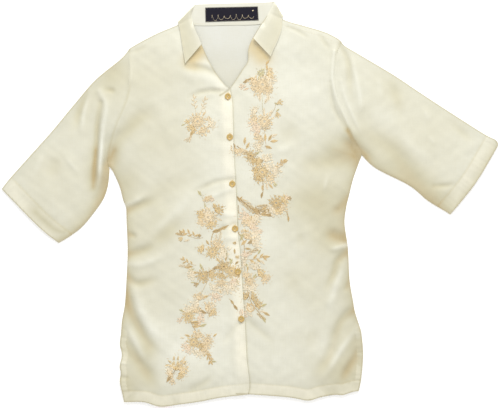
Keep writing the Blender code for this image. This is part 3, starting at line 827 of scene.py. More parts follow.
# Painted warm shade where light has come through the collar or the sleeves and tints the cloth below them gold.
WARM_LINES = soft_lines(
    (((-84, 288), (-92, 274), (-104, 260)), 14, 0.85),
    (((0, 292), (10, 278), (22, 264)), 17, 0.80),
    (((14, 280), (30, 262)), 9, 0.95),
    (((-253, 66), (-246, 82)), 10, 0.3),
)
SHADED_PLACES = (
    (-185, 225, 60, 0.20), (-145, 120, 50, 0.10),
    (-252, 223, 34, 0.24), (-300, 172, 60, 0.20), (-215, 40, 26, 0.22), (-175, 100, 60, 0.14),
    (-385, 60, 50, 0.10), (-330, 30, 50, 0.12), (250, 205, 45, 0.20), (340, 150, 60, 0.16),
    (130, -35, 55, 0.18), (112, -150, 48, 0.16), (165, -290, 36, 0.22), (-165, -155, 50, 0.14),
    (-190, -315, 26, 0.20), (-170, -60, 50, 0.14), (175, 110, 40, 0.08), (150, 250, 50, 0.14),
    (300, 60, 50, 0.10), (-250, 250, 26, 0.30), (130, 15, 40, 0.25), (140, -65, 30, 0.22),
    (250, 115, 40, 0.06), (330, 5, 30, 0.22), (-225, -330, 22, 0.25), (180, -245, 24, 0.20),
    (145, -312, 36, 0.18), (-155, -30, 34, 0.18), (95, 5, 40, 0.24), (-182, -262, 20, 0.36),
    (-270, 52, 20, 0.30),
)
# Where the cloth lies flat to the light.
BRIGHT_PLACES = (
    (0, 60, 28, 0.30), (126, 223, 60, 0.35), (140, -255, 30, 0.30), (-45, -215, 30, 0.30),
    (-140, -268, 30, 0.35), (230, 150, 30, 0.25), (-118, 290, 24, 0.2),
    (30, 290, 40, 0.35), (60, 210, 55, 0.30), (-60, 150, 30, 0.35), (-50, 60, 28, 0.30),
    (-60, -260, 34, 0.35), (-110, -265, 40, 0.45), (40, -300, 40, 0.20), (-30, -310, 30, 0.35),
    (10, 130, 26, 0.35), (60, -200, 40, 0.15), (-110, 270, 30, 0.15), (20, -60, 24, 0.35),
)

hem_right = flow(RIGHT["hem"], 0.006)
hem_left = flow(LEFT["hem"], 0.006)
vent_right = flow(RIGHT["vent"], 0.006)
vent_left = flow(LEFT["vent"], 0.006)
armhole_right = flow(RIGHT["armhole"], 0.006)
armhole_left = flow(LEFT["armhole"], 0.006)


def turned(x, y, hem, vent, facing):
    """Where a front is turned double: its hem, its vent, and its centre edge where facing is above 0."""
    down = ease((-0.222 - y) / 0.01)
    bands = [band(x, y, hem, HEM), down * band(x, y, vent, VENT_TURN), ease(facing / BAND_STEP + 0.5)]
    return np.maximum.reduce(bands)


def front_under(x, y, hem, vent, armhole, facing, lap=0.0):
    """The underside of a front, raised by its turned bands and its armhole, and dented by its stitches."""
    height = lie(x, y)[0]
    doubled = turned(x, y, hem, vent, facing)
    pull = puckers(x, y, hem, HEM) + puckers(x, y, vent, VENT_TURN)
    over_sleeve = 0.0008 * ease((0.010 - off_line(x, y, armhole)[0]) / 0.006)
    dents = stitch_dent(x, y, hem, HEM) + stitch_dent(x, y, vent, VENT_TURN)
    return ground(x, y) + CLOTH + height + lap + TURNED_LIFT * doubled + over_sleeve + pull - dents


def right_front_under(x, y):
    """The right front also climbs over the lap of the left one."""
    inside = edge_side(x, y)
    over = ease((LAP + 0.012 - inside) / 0.012) * ease((0.215 - y) / 0.02)
    return front_under(x, y, hem_right, vent_right, armhole_right, FACING - inside, 0.0018 * over)


def left_front_under(x, y):
    """The left front's turned edge lies hidden under the right one."""
    facing = LEFT_FACING - LAP + edge_side(x, y)
    return front_under(x, y, hem_left, vent_left, armhole_left, facing)


def right_front_marks(x, y):
    """The right front fades from its turned centre edge into the single cloth."""
    doubled = turned(x, y, hem_right, vent_right, FACING - 0.008 - edge_side(x, y))
    soft = 0.9 * ease((FACING + 0.012 - edge_side(x, y)) / 0.020)
    marks = cloth_marks(x, y, np.maximum(doubled, soft))
    marks["shade"] += 0.16 * swell(off_line(x, y, hem_right)[0] - HEM, 0.0016)
    return marks


def left_front_marks(x, y):
    """The left front is shaded where the right one's edge lies over it."""
    facing = LEFT_FACING - LAP + edge_side(x, y)
    marks = cloth_marks(x, y, turned(x, y, hem_left, vent_left, facing))
    hem_line = swell(off_line(x, y, hem_left)[0] - HEM, 0.0016)
    under_edge = swell(np.maximum(-edge_side(x, y), 0), 0.0022) * ease((0.212 - y) / 0.01)
    marks["shade"] += 0.16 * hem_line + 0.40 * under_edge
    return marks


def spread(line, outward, amount=0.0022):
    """A seam line let out towards the sleeve, except at its ends."""
    t = np.linspace(0, 1, len(line))
    out = line.copy()
    out[:, 0] += outward * amount * ease(t / 0.08) * ease((1 - t) / 0.08)
    return out


hidden_edge = [(-54, 195)] + [(x - LAP / MM, y) for x, y in RIGHT["edge"][2:-1]] + [LEFT["hem"][-1]]
right_outline = joined(
    flow(RIGHT["neck"])[::-1],
    flow(RIGHT["shoulder"]),
    spread(flow(RIGHT["armhole"]), -1),
    flow(RIGHT["side"]),
    flow(RIGHT["vent"]),
    flow(RIGHT["hem"]),
    right_edge[::-1],
)
left_outline = joined(
    flow(LEFT["neck"]),
    flow(hidden_edge),
    flow(LEFT["hem"])[::-1],
    flow(LEFT["vent"])[::-1],
    flow(LEFT["side"])[::-1],
    spread(flow(LEFT["armhole"]), 1)[::-1],
    flow(LEFT["shoulder"])[::-1],
)
front_right = lay_cloth(
    "front_right", right_outline, FRONT_PITCH, right_front_under, ivory_cloth, right_front_marks)
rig.ride(front_right, "root")
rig.replaces(front_right, "front_panel_right")
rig.slot(front_right, "jusi_cloth")

front_left = lay_cloth(
    "front_left", left_outline, FRONT_PITCH, left_front_under, ivory_cloth, left_front_marks)
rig.ride(front_left, "root")
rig.replaces(front_left, "front_panel_left")
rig.slot(front_left, "jusi_cloth")

# ---------------------------------------------------------------- the sleeves
# Each sleeve is one piece of jusi sewn into a tube along the underarm, set in the armhole and pressed flat,
# with a deep hem turned up inside at the elbow. Both ends are open.
SLEEVE_PITCH = 0.0027
SLEEVE_HEM = 0.027


def lay_sleeve(name, node, lines, armhole, outward):
    """A flattened tube: an upper sheet over a lower one, joined along the fold and along the underarm."""
    hole = flow(armhole)
    hole[:, 0] += outward * SEAM_GAP
    top = flow(lines["top"])
    cuff = flow(lines["cuff"])
    under = flow(lines["under"])
    top[0] = hole[0]
    under[0] = hole[-1]
    outline = joined(hole, under, cuff[::-1], top[::-1])
    if outward > 0:
        outline = outline[::-1]
    flat, triangles = flat_pattern(outline, SLEEVE_PITCH)
    x, y = flat.T
    height = lie(x, y)[0]
    doubled = band(x, y, cuff, SLEEVE_HEM)
    dent = stitch_dent(x, y, cuff, SLEEVE_HEM)
    low = CLOTH + height + TURNED_LIFT * doubled - dent + puckers(x, y, cuff, SLEEVE_HEM)
    rim = rim_edges(triangles)
    middle = 0.5 * (flat[rim[:, 0]] + flat[rim[:, 1]])
    to_fold = np.minimum(off_line(*middle.T, top)[0], off_line(*middle.T, under)[0])
    to_open = np.minimum(off_line(*middle.T, hole)[0], off_line(*middle.T, cuff)[0])
    folded = to_fold < to_open
    turned_in = flat.copy()
    for (a, b), is_fold in zip(rim, folded):
        if is_fold:
            along = flat[b] - flat[a]
            inward = np.array([-along[1], along[0]]) / max(np.hypot(*along), 1e-9)
            for corner in (a, b):
                turned_in[corner] += 0.5 * inward * CLOTH
    count = len(flat)
    points = np.vstack([
        np.column_stack([flat, low + CLOTH]),
        np.column_stack([turned_in, low]),
        np.column_stack([turned_in, np.full(count, CLOTH)]),
        np.column_stack([flat, np.zeros(count)]),
    ])
    faces = triangles.tolist() + (triangles[:, ::-1] + count).tolist()
    faces += (triangles + 2 * count).tolist() + (triangles[:, ::-1] + 3 * count).tolist()
    for (a, b), is_fold in zip(rim.tolist(), folded):
        if is_fold:
            faces.append((a + 3 * count, b + 3 * count, b, a))
            faces.append((a + count, b + count, b + 2 * count, a + 2 * count))
        else:
            faces.append((a + count, b + count, b, a))
            faces.append((a + 3 * count, b + 3 * count, b + 2 * count, a + 2 * count))
    shown = cloth_marks(x, y, 0.55 * doubled)
    shown["shade"] += 0.20 * swell(off_line(x, y, cuff)[0] - SLEEVE_HEM, 0.0018)
    marks = {mark: np.tile(values, 4) for mark, values in shown.items()}
    made = add_piece(name, points, faces, ivory_cloth, marks)
    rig.ride(made, "root")
    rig.replaces(made, node)
    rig.slot(made, "jusi_cloth")
    return made


sleeve_right = lay_sleeve("right_sleeve", "sleeve_right", SLEEVE_RIGHT, RIGHT["armhole"], -1)
sleeve_left = lay_sleeve("left_sleeve", "sleeve_left", SLEEVE_LEFT, LEFT["armhole"], 1)

# ---------------------------------------------------------------- the stand of the collar
# A band of doubled jusi, sewn to the neckline of the back. Its inner face lies across the open neck, above
# the seam, and its top edge rolls over into the fall.
STAND_PITCH = 0.0022
STAND = ((-110, 334), (-102, 321.5), (-40, 321.4), (23, 324.5), (34, 343), (41, 359), (38, 362.4),
         (-28, 360.6), (-94, 358.6), (-102, 352), (-108, 342))
STAND_BASE = flow(STAND[1:4])
STAND_TOP = flow(((-94, 359), (-28, 361), (38, 363)))


def stand_under(x, y):
    """The stand lies on the fall behind it, is thick at its seam and turns down at its top edge."""
    seam = 0.0002 * swell(off_line(x, y, STAND_BASE)[0], 0.0022)
    roll = 0.0006 * ease(1 - off_line(x, y, STAND_TOP)[0] / 0.005)
    return 0.0020 + seam - roll + 0.3 * rumple(x, y)


# Painted shade over the stand, deeper along its seam and its top edge.
def stand_marks(x, y):
    low_edge = swell(off_line(x, y, STAND_BASE)[0], 0.0022)
    top_edge = swell(off_line(x, y, STAND_TOP)[0], 0.0020)
    shade = 0.06 + 0.08 * low_edge + 0.1 * top_edge
    return {"shade": shade, "light": np.zeros(x.shape), "double": np.full(x.shape, 0.2)}


stand = lay_cloth("stand", joined(flow(STAND)), STAND_PITCH, stand_under, single_shaded_cloth, stand_marks)
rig.ride(stand, "root")
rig.replaces(stand, "collar_stand")
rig.slot(stand, "jusi_cloth")

# ---------------------------------------------------------------- the fall of the collar
# The turned-down part, of two layers of jusi: its points lie on the fronts and its middle is folded away
# behind the back. It rises in a soft roll at the neckline and stands clear of the fronts at its rim.
FALL_CLOTH = 0.0009
FALL_ACROSS = 26        # steps of the mesh from the roll line to the rim
FALL_ROLL = 0.0036      # rise of the roll at the neckline
FALL_CLEAR = 0.0012     # gap under the rim
OVER = 0.0
UNDER = math.pi
# Each row runs from the roll line to the rim, in millimetres, and is turned over the fronts, under the back
# or half-way between.
FALL_ROWS = (
    (-87, 286, -116, 252, OVER), (-91, 297, -118.5, 266, OVER), (-97, 310, -121, 281, OVER),
    (-102, 324, -123.5, 297, OVER), (-105, 340, -126, 312, OVER), (-101.5, 353, -128.5, 323, OVER),
    (-98.6, 358.2, -129.6, 326, 0.5 * math.pi), (-94, 359, -125, 326.5, UNDER),
    (-72, 359.8, -88, 313, UNDER), (-32, 361, -34, 313, UNDER), (12, 362, 16, 315, UNDER),
    (38, 363.2, 54, 337, UNDER), (43.8, 364, 59.4, 336, 0.5 * math.pi), (42, 360, 57.5, 333, OVER),
    (36, 348, 57, 315, OVER), (29, 336, 53, 301, OVER), (21, 322, 48, 288, OVER),
    (13, 309, 42, 276, OVER), (6, 297, 37, 264, OVER),
)


def front_top(x, y):
    """The top of whichever front is under a point of the collar."""
    return CLOTH + np.where(x < -0.035, right_front_under(x, y), left_front_under(x, y))


def shell(name, grid, thickness, finish, marks):
    """A closed shell around a grid of points: rows by columns by x, y and z."""
    rows, columns, _ = grid.shape
    normal = np.cross(np.gradient(grid, axis=1), np.gradient(grid, axis=0))
    normal /= np.maximum(np.linalg.norm(normal, axis=2, keepdims=True), 1e-12)
    half = 0.5 * thickness * normal
    points = np.vstack([(grid + half).reshape(-1, 3), (grid - half).reshape(-1, 3)])
    under = rows * columns
    faces = []
    for r in range(rows - 1):
        for c in range(columns - 1):
            a = r * columns + c
            b = a + 1
            d = a + columns
            e = d + 1
            faces.append((a, b, e, d))
            faces.append((under + a, under + d, under + e, under + b))
    for r in range(rows - 1):
        a = r * columns
        faces.append((a, a + columns, under + a + columns, under + a))
        b = a + columns - 1
        faces.append((b, under + b, under + b + columns, b + columns))
    for c in range(columns - 1):
        faces.append((c, under + c, under + c + 1, c + 1))
        a = (rows - 1) * columns + c
        faces.append((a, a + 1, under + a + 1, under + a))
    shown = {mark: np.tile(values.ravel(), 2) for mark, values in marks.items()}
    return add_piece(name, points, faces, finish, shown)


fall_keys = np.array(FALL_ROWS)
fall_keys[:, :4] *= MM
fall_rows = []
padded = np.vstack([fall_keys[:1], fall_keys, fall_keys[-1:]])
for a, b, c, d in zip(padded, padded[1:], padded[2:], padded[3:]):
    span = math.hypot(c[2] - b[2], c[3] - b[3])
    count = max(8 if b[4] != c[4] else 3, round(span / 0.0018))
    t = np.arange(count)[:, None] / count
    row = smooth_between(a, b, c, d, t)
    row[:, 4] = (b + t * (c - b))[:, 4]
    fall_rows.append(row)
fall_rows = np.vstack(fall_rows + [fall_keys[-1:]])
across = np.linspace(0, 1, FALL_ACROSS + 1)[None, :]
fall_x = fall_rows[:, 0:1] + across * (fall_rows[:, 2:3] - fall_rows[:, 0:1])
fall_y = fall_rows[:, 1:2] + across * (fall_rows[:, 3:4] - fall_rows[:, 1:2])
behind = np.broadcast_to(0.5 - 0.5 * np.cos(fall_rows[:, 4:5]), fall_x.shape)
front_edges = np.minimum(np.arange(len(fall_rows)), np.arange(len(fall_rows))[::-1])[:, None]
point_lift = 0.0022 * np.exp(-front_edges / 5.0)
over_z = front_top(fall_x.ravel(), fall_y.ravel()).reshape(fall_x.shape)
over_z = over_z + 0.5 * FALL_CLOTH + FALL_CLEAR + FALL_ROLL * (1 - across) ** 2 + point_lift
joining = ease((fall_rows[:, 1:2] - 0.316) / 0.012) * swell(across, 0.13)
over_z = over_z + joining * (0.0034 - over_z)
fall_z = over_z * (1 - behind) + 0.5 * FALL_CLOTH * behind
fall_grid = np.dstack([fall_x, fall_y, fall_z])
# The collar's colour: a painted highlight along its roll, where it is also denser, and painted shade overall, deeper
# on the wearer's right leaf, towards the rim, along the stitching and where it is folded behind the back.
rolled = swell(across, 0.18) * np.ones(fall_x.shape)
stitched = swell(across - 0.93, 0.02) * np.ones(fall_x.shape)
fall_shade = 0.17 + 0.06 * ease((-0.04 - fall_x) / 0.02) + 0.10 * swell(across - 0.75, 0.3)
fall_marks = {
    "shade": fall_shade + 0.12 * stitched + 0.2 * behind,
    "light": 0.5 * rolled * (1 - behind),
    "double": 0.12 + 0.5 * rolled * (1 - behind),
}
fall = shell("fall", fall_grid, FALL_CLOTH, ivory_cloth, fall_marks)
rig.ride(fall, "root")
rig.replaces(fall, "collar_fall")
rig.slot(fall, "jusi_cloth")

# ---------------------------------------------------------------- the neck label
# A navy damask tape with a woven gold scroll and a small lozenge, sewn flat to the stand along all its
# edges. It carries no words.
LABEL = ((-80, 327), (15.5, 330), (14, 355), (-80.5, 353))
LABEL_PITCH = 0.0012
LABEL_COUNT = 2400.0    # threads per metre
LABEL_LIFT = 0.0002     # clear of the stand
SCROLL_STITCHES = 230
SCROLL_CURLS = 7
LOZENGE_STITCHES = 13
GOLD = srgb(232, 216, 180)

navy, navy_tree, navy_shader = finish_of("navy_damask", {
    "Roughness": 0.6, "Specular IOR Level": 0.2, "Sheen Weight": 0.08})
navy_threads = woven(navy_tree, LABEL_COUNT)
navy_colour = blend_colour(navy_tree, navy_threads["Threads"], srgb(15, 13, 28), srgb(32, 28, 46))
navy_tree.links.new(navy_colour, navy_shader.inputs["Base Color"])
navy_bump = add_node(navy_tree, "ShaderNodeBump", {
    "Strength": 0.5, "Distance": 0.0002, "Height": navy_threads["Threads"]})
navy_tree.links.new(navy_bump.outputs["Normal"], navy_shader.inputs["Normal"])

thread, thread_tree, thread_shader = finish_of("embroidery_thread", {
    "Roughness": 0.38, "Specular IOR Level": 0.45, "Sheen Weight": 0.3})
thread_dye = add_node(thread_tree, "ShaderNodeAttribute", attribute_name="dye")
thread_tree.links.new(thread_dye.outputs["Color"], thread_shader.inputs["Base Color"])


def surface_of(piece):
    """The height of a piece's top as a function of x and y. It gives None where the piece isn't."""
    tree = BVHTree.FromObject(piece, bpy.context.evaluated_depsgraph_get())

    def height(x, y):
        hit = tree.ray_cast((x, y, 0.2), (0, 0, -1))[0]
        return None if hit is None else hit.z
    return height


class Threads:
    """Short embroidery threads, gathered here and made into one mesh."""

    def __init__(self):
        self.points = []
        self.faces = []
        self.dyes = []

    def lay(self, start, end, arch, width, dye, base):
        """One thread from start to end over the cloth base(x, y), arched in between."""
        run = np.array([end[0] - start[0], end[1] - start[1]])
        length = np.hypot(*run)
        if length < 1e-5:
            return
        side = 0.5 * width * np.array([-run[1], run[0]]) / length
        first = len(self.points)
        self.points.append((start[0], start[1], base(start[0], start[1])))
        for t in (0.22, 0.78):
            x = start[0] + t * run[0]
            y = start[1] + t * run[1]
            z = base(x, y) + arch
            self.points.append((x + side[0], y + side[1], z))
            self.points.append((x, y, z + 0.42 * width))
            self.points.append((x - side[0], y - side[1], z))
        self.points.append((end[0], end[1], base(end[0], end[1])))
        last = first + 7
        a = first + 1
        self.faces += [(first, a + 1, a), (first, a + 2, a + 1), (first, a, a + 2)]
        self.faces += [(a, a + 1, a + 4, a + 3), (a + 1, a + 2, a + 5, a + 4), (a + 2, a, a + 3, a + 5)]
        a = first + 4
        self.faces += [(last, a, a + 1), (last, a + 1, a + 2), (last, a + 2, a)]
        self.dyes += [dye] * 8

    def finish(self, name):
        mesh = bpy.data.meshes.new(name)
        mesh.from_pydata([tuple(p) for p in self.points], [], self.faces)
        layer = mesh.attributes.new("dye", "FLOAT_COLOR", "POINT")
        layer.data.foreach_set("color", np.array(self.dyes, np.float32).ravel())
        mesh.materials.append(thread)
        made = placed(name, mesh)
        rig.ride(made, "root")
        return made


def label_under(x, y):
    """The label lies on the stand."""
    return stand_under(x, y) + CLOTH + LABEL_LIFT


def label_marks(x, y):
    return {"shade": np.zeros(x.shape)}


label_edges = np.array(LABEL + LABEL[:1], float) * MM
label_outline = joined(*[np.linspace(a, b, 24) for a, b in zip(label_edges, label_edges[1:])])
label = lay_cloth("label", label_outline, LABEL_PITCH, label_under, navy, label_marks)
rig.ride(label, "root")
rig.replaces(label, "neck_label")
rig.slot(label, "woven_label")

label_left = 0.5 * (label_edges[0] + label_edges[3])
label_along = 0.5 * (label_edges[1] + label_edges[2]) - label_left
label_up = 0.5 * (label_edges[3] - label_edges[0])


def on_label(along, up):
    """A point of the label: along from 0 to 1 and up from -1 to 1."""
    return label_left + along * label_along + up * label_up


label_top = surface_of(label)
scroll = Threads()
# the scroll, a running coil
for k in range(SCROLL_STITCHES):
    t = k / (SCROLL_STITCHES - 1)
    curl = 2 * math.pi * SCROLL_CURLS * t
    size = 0.30 + 0.12 * math.sin(2 * math.pi * 2 * t)
    middle = on_label(0.10 + 0.80 * t + 0.018 * math.cos(curl), -0.42 + size * math.sin(curl))
    heading = on_label(0.10 + 0.80 * t + 0.018 * math.cos(curl + 0.2), -0.42 + size * math.sin(curl + 0.2))
    heading = heading - middle
    heading /= np.hypot(*heading)
    half = 0.00030 * np.array([-heading[1], heading[0]])
    scroll.lay(middle - half, middle + half, 0.00012, 0.00060, GOLD, label_top)
# the lozenge
for k in range(LOZENGE_STITCHES):
    t = k / (LOZENGE_STITCHES - 1) * 2 - 1
    half = 0.055 * (1 - abs(t)) * 2.2 * label_up
    middle = on_label(0.90 + 0.016 * t, 0.42)
    if abs(t) < 0.98:
        scroll.lay(middle - half, middle + half, 0.00012, 0.00030, GOLD, label_top)
label_scroll = scroll.finish("label_scroll")
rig.slot(label_scroll, "woven_label")

# ---------------------------------------------------------------- the stitching
# Machine stitches in ivory thread: along the hems, the vents, the shoulders, the neckline, the right front's
# centre edge, the cuffs and the rim of the collar, at the foot of the stand and around the label.
STITCH_LENGTH = 0.0021
STITCH_GAP = 0.0011
STITCH_LIFT = 0.00005   # clear of the cloth

stitch_paint, _, _ = finish_of("ivory_thread", {
    "Base Color": srgb(222, 212, 184), "Roughness": 0.5, "Sheen Weight": 0.2})

stitching = bpy.data.node_groups.new("stitch_row", "GeometryNodeTree")
stitching.is_modifier = True
add_socket(stitching, "Geometry", "Geometry")
pitch_input = add_socket(stitching, "Stitch pitch")
length_input = add_socket(stitching, "Stitch length")
width_input = add_socket(stitching, "Thread width")
seed_input = add_socket(stitching, "Seed", "Int")
add_socket(stitching, "Geometry", "Geometry", "OUTPUT")

stitch_in = add_node(stitching, "NodeGroupInput").outputs
to_points = add_node(stitching, "GeometryNodeCurveToPoints", {
    "Curve": stitch_in["Geometry"], "Length": stitch_in["Stitch pitch"]}, mode="LENGTH").outputs
bead = add_node(stitching, "GeometryNodeMeshUVSphere", {"Segments": 6, "Rings": 5, "Radius": 0.5})
bead_size = add_node(stitching, "ShaderNodeCombineXYZ", {
    "X": stitch_in["Thread width"], "Y": stitch_in["Thread width"], "Z": stitch_in["Stitch length"]})
jitter = add_node(stitching, "FunctionNodeRandomValue", {2: 0.85, 3: 1.1, "Seed": stitch_in["Seed"]},
                  data_type="FLOAT")
bead_scale = add_node(stitching, "ShaderNodeVectorMath", {
    0: bead_size.outputs["Vector"], "Scale": jitter.outputs[1]}, operation="SCALE")
place_beads = add_node(stitching, "GeometryNodeInstanceOnPoints", {
    "Points": to_points["Points"], "Instance": bead.outputs["Mesh"],
    "Rotation": to_points["Rotation"], "Scale": bead_scale.outputs["Vector"]})
realize = add_node(stitching, "GeometryNodeRealizeInstances", {
    "Geometry": place_beads.outputs["Instances"]})
stitch_finish = add_node(stitching, "GeometryNodeSetMaterial", {
    "Material": stitch_paint, "Geometry": realize.outputs["Geometry"]})
add_node(stitching, "NodeGroupOutput", {"Geometry": stitch_finish.outputs["Geometry"]})


def sew(name, rows, slot, seed, pitch=STITCH_LENGTH + STITCH_GAP, length=STITCH_LENGTH, width=0.00042):
    """Rows of stitches along lines of x, y and z, as one mesh."""
    curve = bpy.data.curves.new(name, "CURVE")
    curve.dimensions = "3D"
    for row in rows:
        spline = curve.splines.new("POLY")
        spline.points.add(len(row) - 1)
        for point, place in zip(spline.points, row):
            point.co = (*place, 1.0)
    drawn = placed(name + "_line", curve)
    modifier = drawn.modifiers.new("stitches", "NODES")
    modifier.node_group = stitching
    modifier[pitch_input.identifier] = pitch
    modifier[length_input.identifier] = length
    modifier[width_input.identifier] = width
    modifier[seed_input.identifier] = seed
    evaluated = drawn.evaluated_get(bpy.context.evaluated_depsgraph_get())
    mesh = bpy.data.meshes.new_from_object(evaluated)
    mesh.name = name
    drawn.modifiers.remove(modifier)
    bpy.data.objects.remove(drawn)
    bpy.data.curves.remove(curve)
    made = placed(name, mesh)
    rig.ride(made, "root")
    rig.slot(made, slot)
    return made


def beside(line, outline, distance):
    """A line moved sideways into an outline by a distance."""
    heading = np.gradient(line, axis=0)
    heading /= np.maximum(np.hypot(*heading.T)[:, None], 1e-12)
    side = np.column_stack([-heading[:, 1], heading[:, 0]])
    middle = line[len(line) // 2] + 0.003 * side[len(line) // 2]
    if not within(middle[:1], middle[1:], outline)[0]:
        side = -side
    return line + distance * side


def on_surface(line, under, ends):
    """A row of x, y and z on top of a piece of cloth, a little short of the line's ends."""
    start = np.hypot(*(line - line[0]).T) > ends
    stop = np.hypot(*(line - line[-1]).T) > ends
    row = line[start & stop]
    return np.column_stack([row, under(*row.T) + CLOTH + STITCH_LIFT])


edge_row = np.column_stack([right_edge[:, 0] - 0.0025, right_edge[:, 1]])
right_hem_row = beside(flow(RIGHT["hem"]), right_outline, HEM - 0.001)
left_hem_row = beside(flow(LEFT["hem"]), left_outline, HEM - 0.001)
left_hem_row = left_hem_row[edge_side(*left_hem_row.T) < -0.0015]     # only where it shows
right_rows = [on_surface(right_hem_row, right_front_under, 0.006)]
left_rows = [on_surface(left_hem_row, left_front_under, 0.006)]
for seam, inside in (("vent", VENT_TURN - 0.001), ("shoulder", 0.009), ("neck", 0.0022)):
    right_row = beside(flow(RIGHT[seam]), right_outline, inside)
    right_rows.append(on_surface(right_row, right_front_under, 0.012))
    shown = LEFT[seam][:-2] if seam == "neck" else LEFT[seam]
    left_row = beside(flow(shown), left_outline, inside)
    left_rows.append(on_surface(left_row, left_front_under, 0.012))
right_rows.append(on_surface(edge_row, right_front_under, 0.003))
right_front_stitches = sew("right_front_stitches", right_rows, "jusi_cloth", 1)
left_front_stitches = sew("left_front_stitches", left_rows, "jusi_cloth", 2)

cuff_stitches = []
cuffs = (
    ("right_cuff_stitches", sleeve_right, SLEEVE_RIGHT), ("left_cuff_stitches", sleeve_left, SLEEVE_LEFT),
)
for side, (name, sleeve, lines) in enumerate(cuffs):
    sleeve_outline = joined(flow(lines["top"]), flow(lines["cuff"]), flow(lines["under"])[::-1])
    row = beside(flow(lines["cuff"]), sleeve_outline, SLEEVE_HEM)
    row = row[within(*row.T, sleeve_outline)][4:-4]
    top_of_sleeve = surface_of(sleeve)
    row = np.array([(x, y, top_of_sleeve(x, y) + 0.00008) for x, y in row])
    cuff_stitches.append(sew(name, [row], "jusi_cloth", 3 + side))

rim_column = FALL_ACROSS - 2
shown_rows = np.abs(fall_rows[:, 4] - OVER) < 0.01
splits = np.flatnonzero(np.diff(shown_rows.astype(int)))
collar_rows = []
for part in np.split(np.arange(len(fall_rows)), splits + 1):
    if shown_rows[part[0]]:
        part = part[2:-1] if part[0] == 0 else part[1:-2]
        lift = (0, 0, 0.5 * FALL_CLOTH + STITCH_LIFT)
        rim = fall_grid[part, rim_column] + lift
        tip = fall_grid[part[0] if part[0] < 10 else part[-1], 3:rim_column + 1] + lift
        collar_rows += [rim, tip]
collar_stitches = sew("collar_stitches", collar_rows, "jusi_cloth", 5)
stand_row = on_surface(beside(STAND_BASE, joined(flow(STAND)), 0.0030), stand_under, 0.003)
stand_stitches = sew("stand_stitches", [stand_row], "jusi_cloth", 6)
label_row = joined(*[np.linspace(a, b, 40) for a, b in zip(label_edges, label_edges[1:])])
label_middle = label_row.mean(axis=0)
label_row = label_middle + (label_row - label_middle) * (0.985, 0.94)
label_row = np.vstack([label_row, label_row[:1]])
label_row = np.column_stack([label_row, label_under(*label_row.T) + CLOTH + STITCH_LIFT])
label_stitches = sew(
    "label_stitches", [label_row], "woven_label", 7, pitch=0.0024, length=0.0017, width=0.00030)

# ---------------------------------------------------------------- the buttons and their holes
# Six dished four-hole buttons of pale horn, each sewn to the left front with a cross of thread and passed
# through an upright overcast buttonhole in the right one, which shows just above and below its button.
BUTTONS = ((-39.6, 193), (-36.2, 120), (-31.7, 36), (-26.8, -44), (-21.6, -121), (-15.7, -206))
BUTTON_RADIUS = 0.0057
BUTTON_PROFILE = ((0.0, 0.6), (0.30, 0.62), (0.52, 0.75), (0.62, 1.15), (0.72, 1.45), (0.84, 1.5),
                  (0.95, 1.3), (1.0, 0.9), (0.98, 0.45), (0.9, 0.12), (0.75, 0.0), (0.4, 0.0), (0.0, 0.0))
BUTTON_SIDES = 40
BUTTON_LIFT = 0.0004    # clear of the cloth
BUTTON_WELL = 0.0007    # height of the dish's floor
HOLE_AWAY = 0.00125     # from the button's middle to each of its four holes
HOLE_RADIUS = 0.00062
HOLE_SIDES = 12
DRILL_PROFILE = ((0, 4 * MM), (HOLE_RADIUS, 4 * MM), (HOLE_RADIUS, -2 * MM), (0, -2 * MM))
SLIT_HALF = 0.0072      # half the length of a buttonhole
SLIT_STITCHES = 38

CROSS_THREAD = srgb(236, 226, 196)
SLIT_THREAD = srgb(226, 210, 170)
horn, horn_tree, horn_shader = finish_of("pale_horn", {
    "Roughness": 0.28, "Subsurface Weight": 0.05, "Subsurface Scale": 0.001})
horn_place = add_node(horn_tree, "ShaderNodeTexCoord")
horn_grain = add_node(horn_tree, "ShaderNodeTexNoise", {
    "Scale": 350.0, "Distortion": 1.2, "Vector": horn_place.outputs["Object"]})
horn_colour = blend_colour(horn_tree, horn_grain.outputs["Fac"], srgb(216, 188, 122), srgb(182, 148, 80))
horn_tree.links.new(horn_colour, horn_shader.inputs["Base Color"])


def turned_solid(profile, sides):
    """A bmesh turned around Z from a profile of radius and height."""
    made = bmesh.new()
    rings = []
    for radius, height in profile:
        if radius == 0:
            rings.append([made.verts.new((0, 0, height))])
        else:
            angles = [2 * math.pi * k / sides for k in range(sides)]
            ring = [(radius * math.cos(a), radius * math.sin(a), height) for a in angles]
            rings.append([made.verts.new(corner) for corner in ring])
    for ring, below in zip(rings, rings[1:]):
        for k in range(sides):
            n = (k + 1) % sides
            upper = [ring[k % len(ring)], ring[n % len(ring)]]
            lower = [below[n % len(below)], below[k % len(below)]]
            made.faces.new(list(dict.fromkeys(upper + lower)))
    bmesh.ops.recalc_face_normals(made, faces=made.faces)
    return made


def object_from(name, made, finish):
    """A finished mesh object from a bmesh, which is freed."""
    mesh = bpy.data.meshes.new(name)
    made.to_mesh(mesh)
    made.free()
    mesh.materials.append(finish)
    return placed(name, mesh)


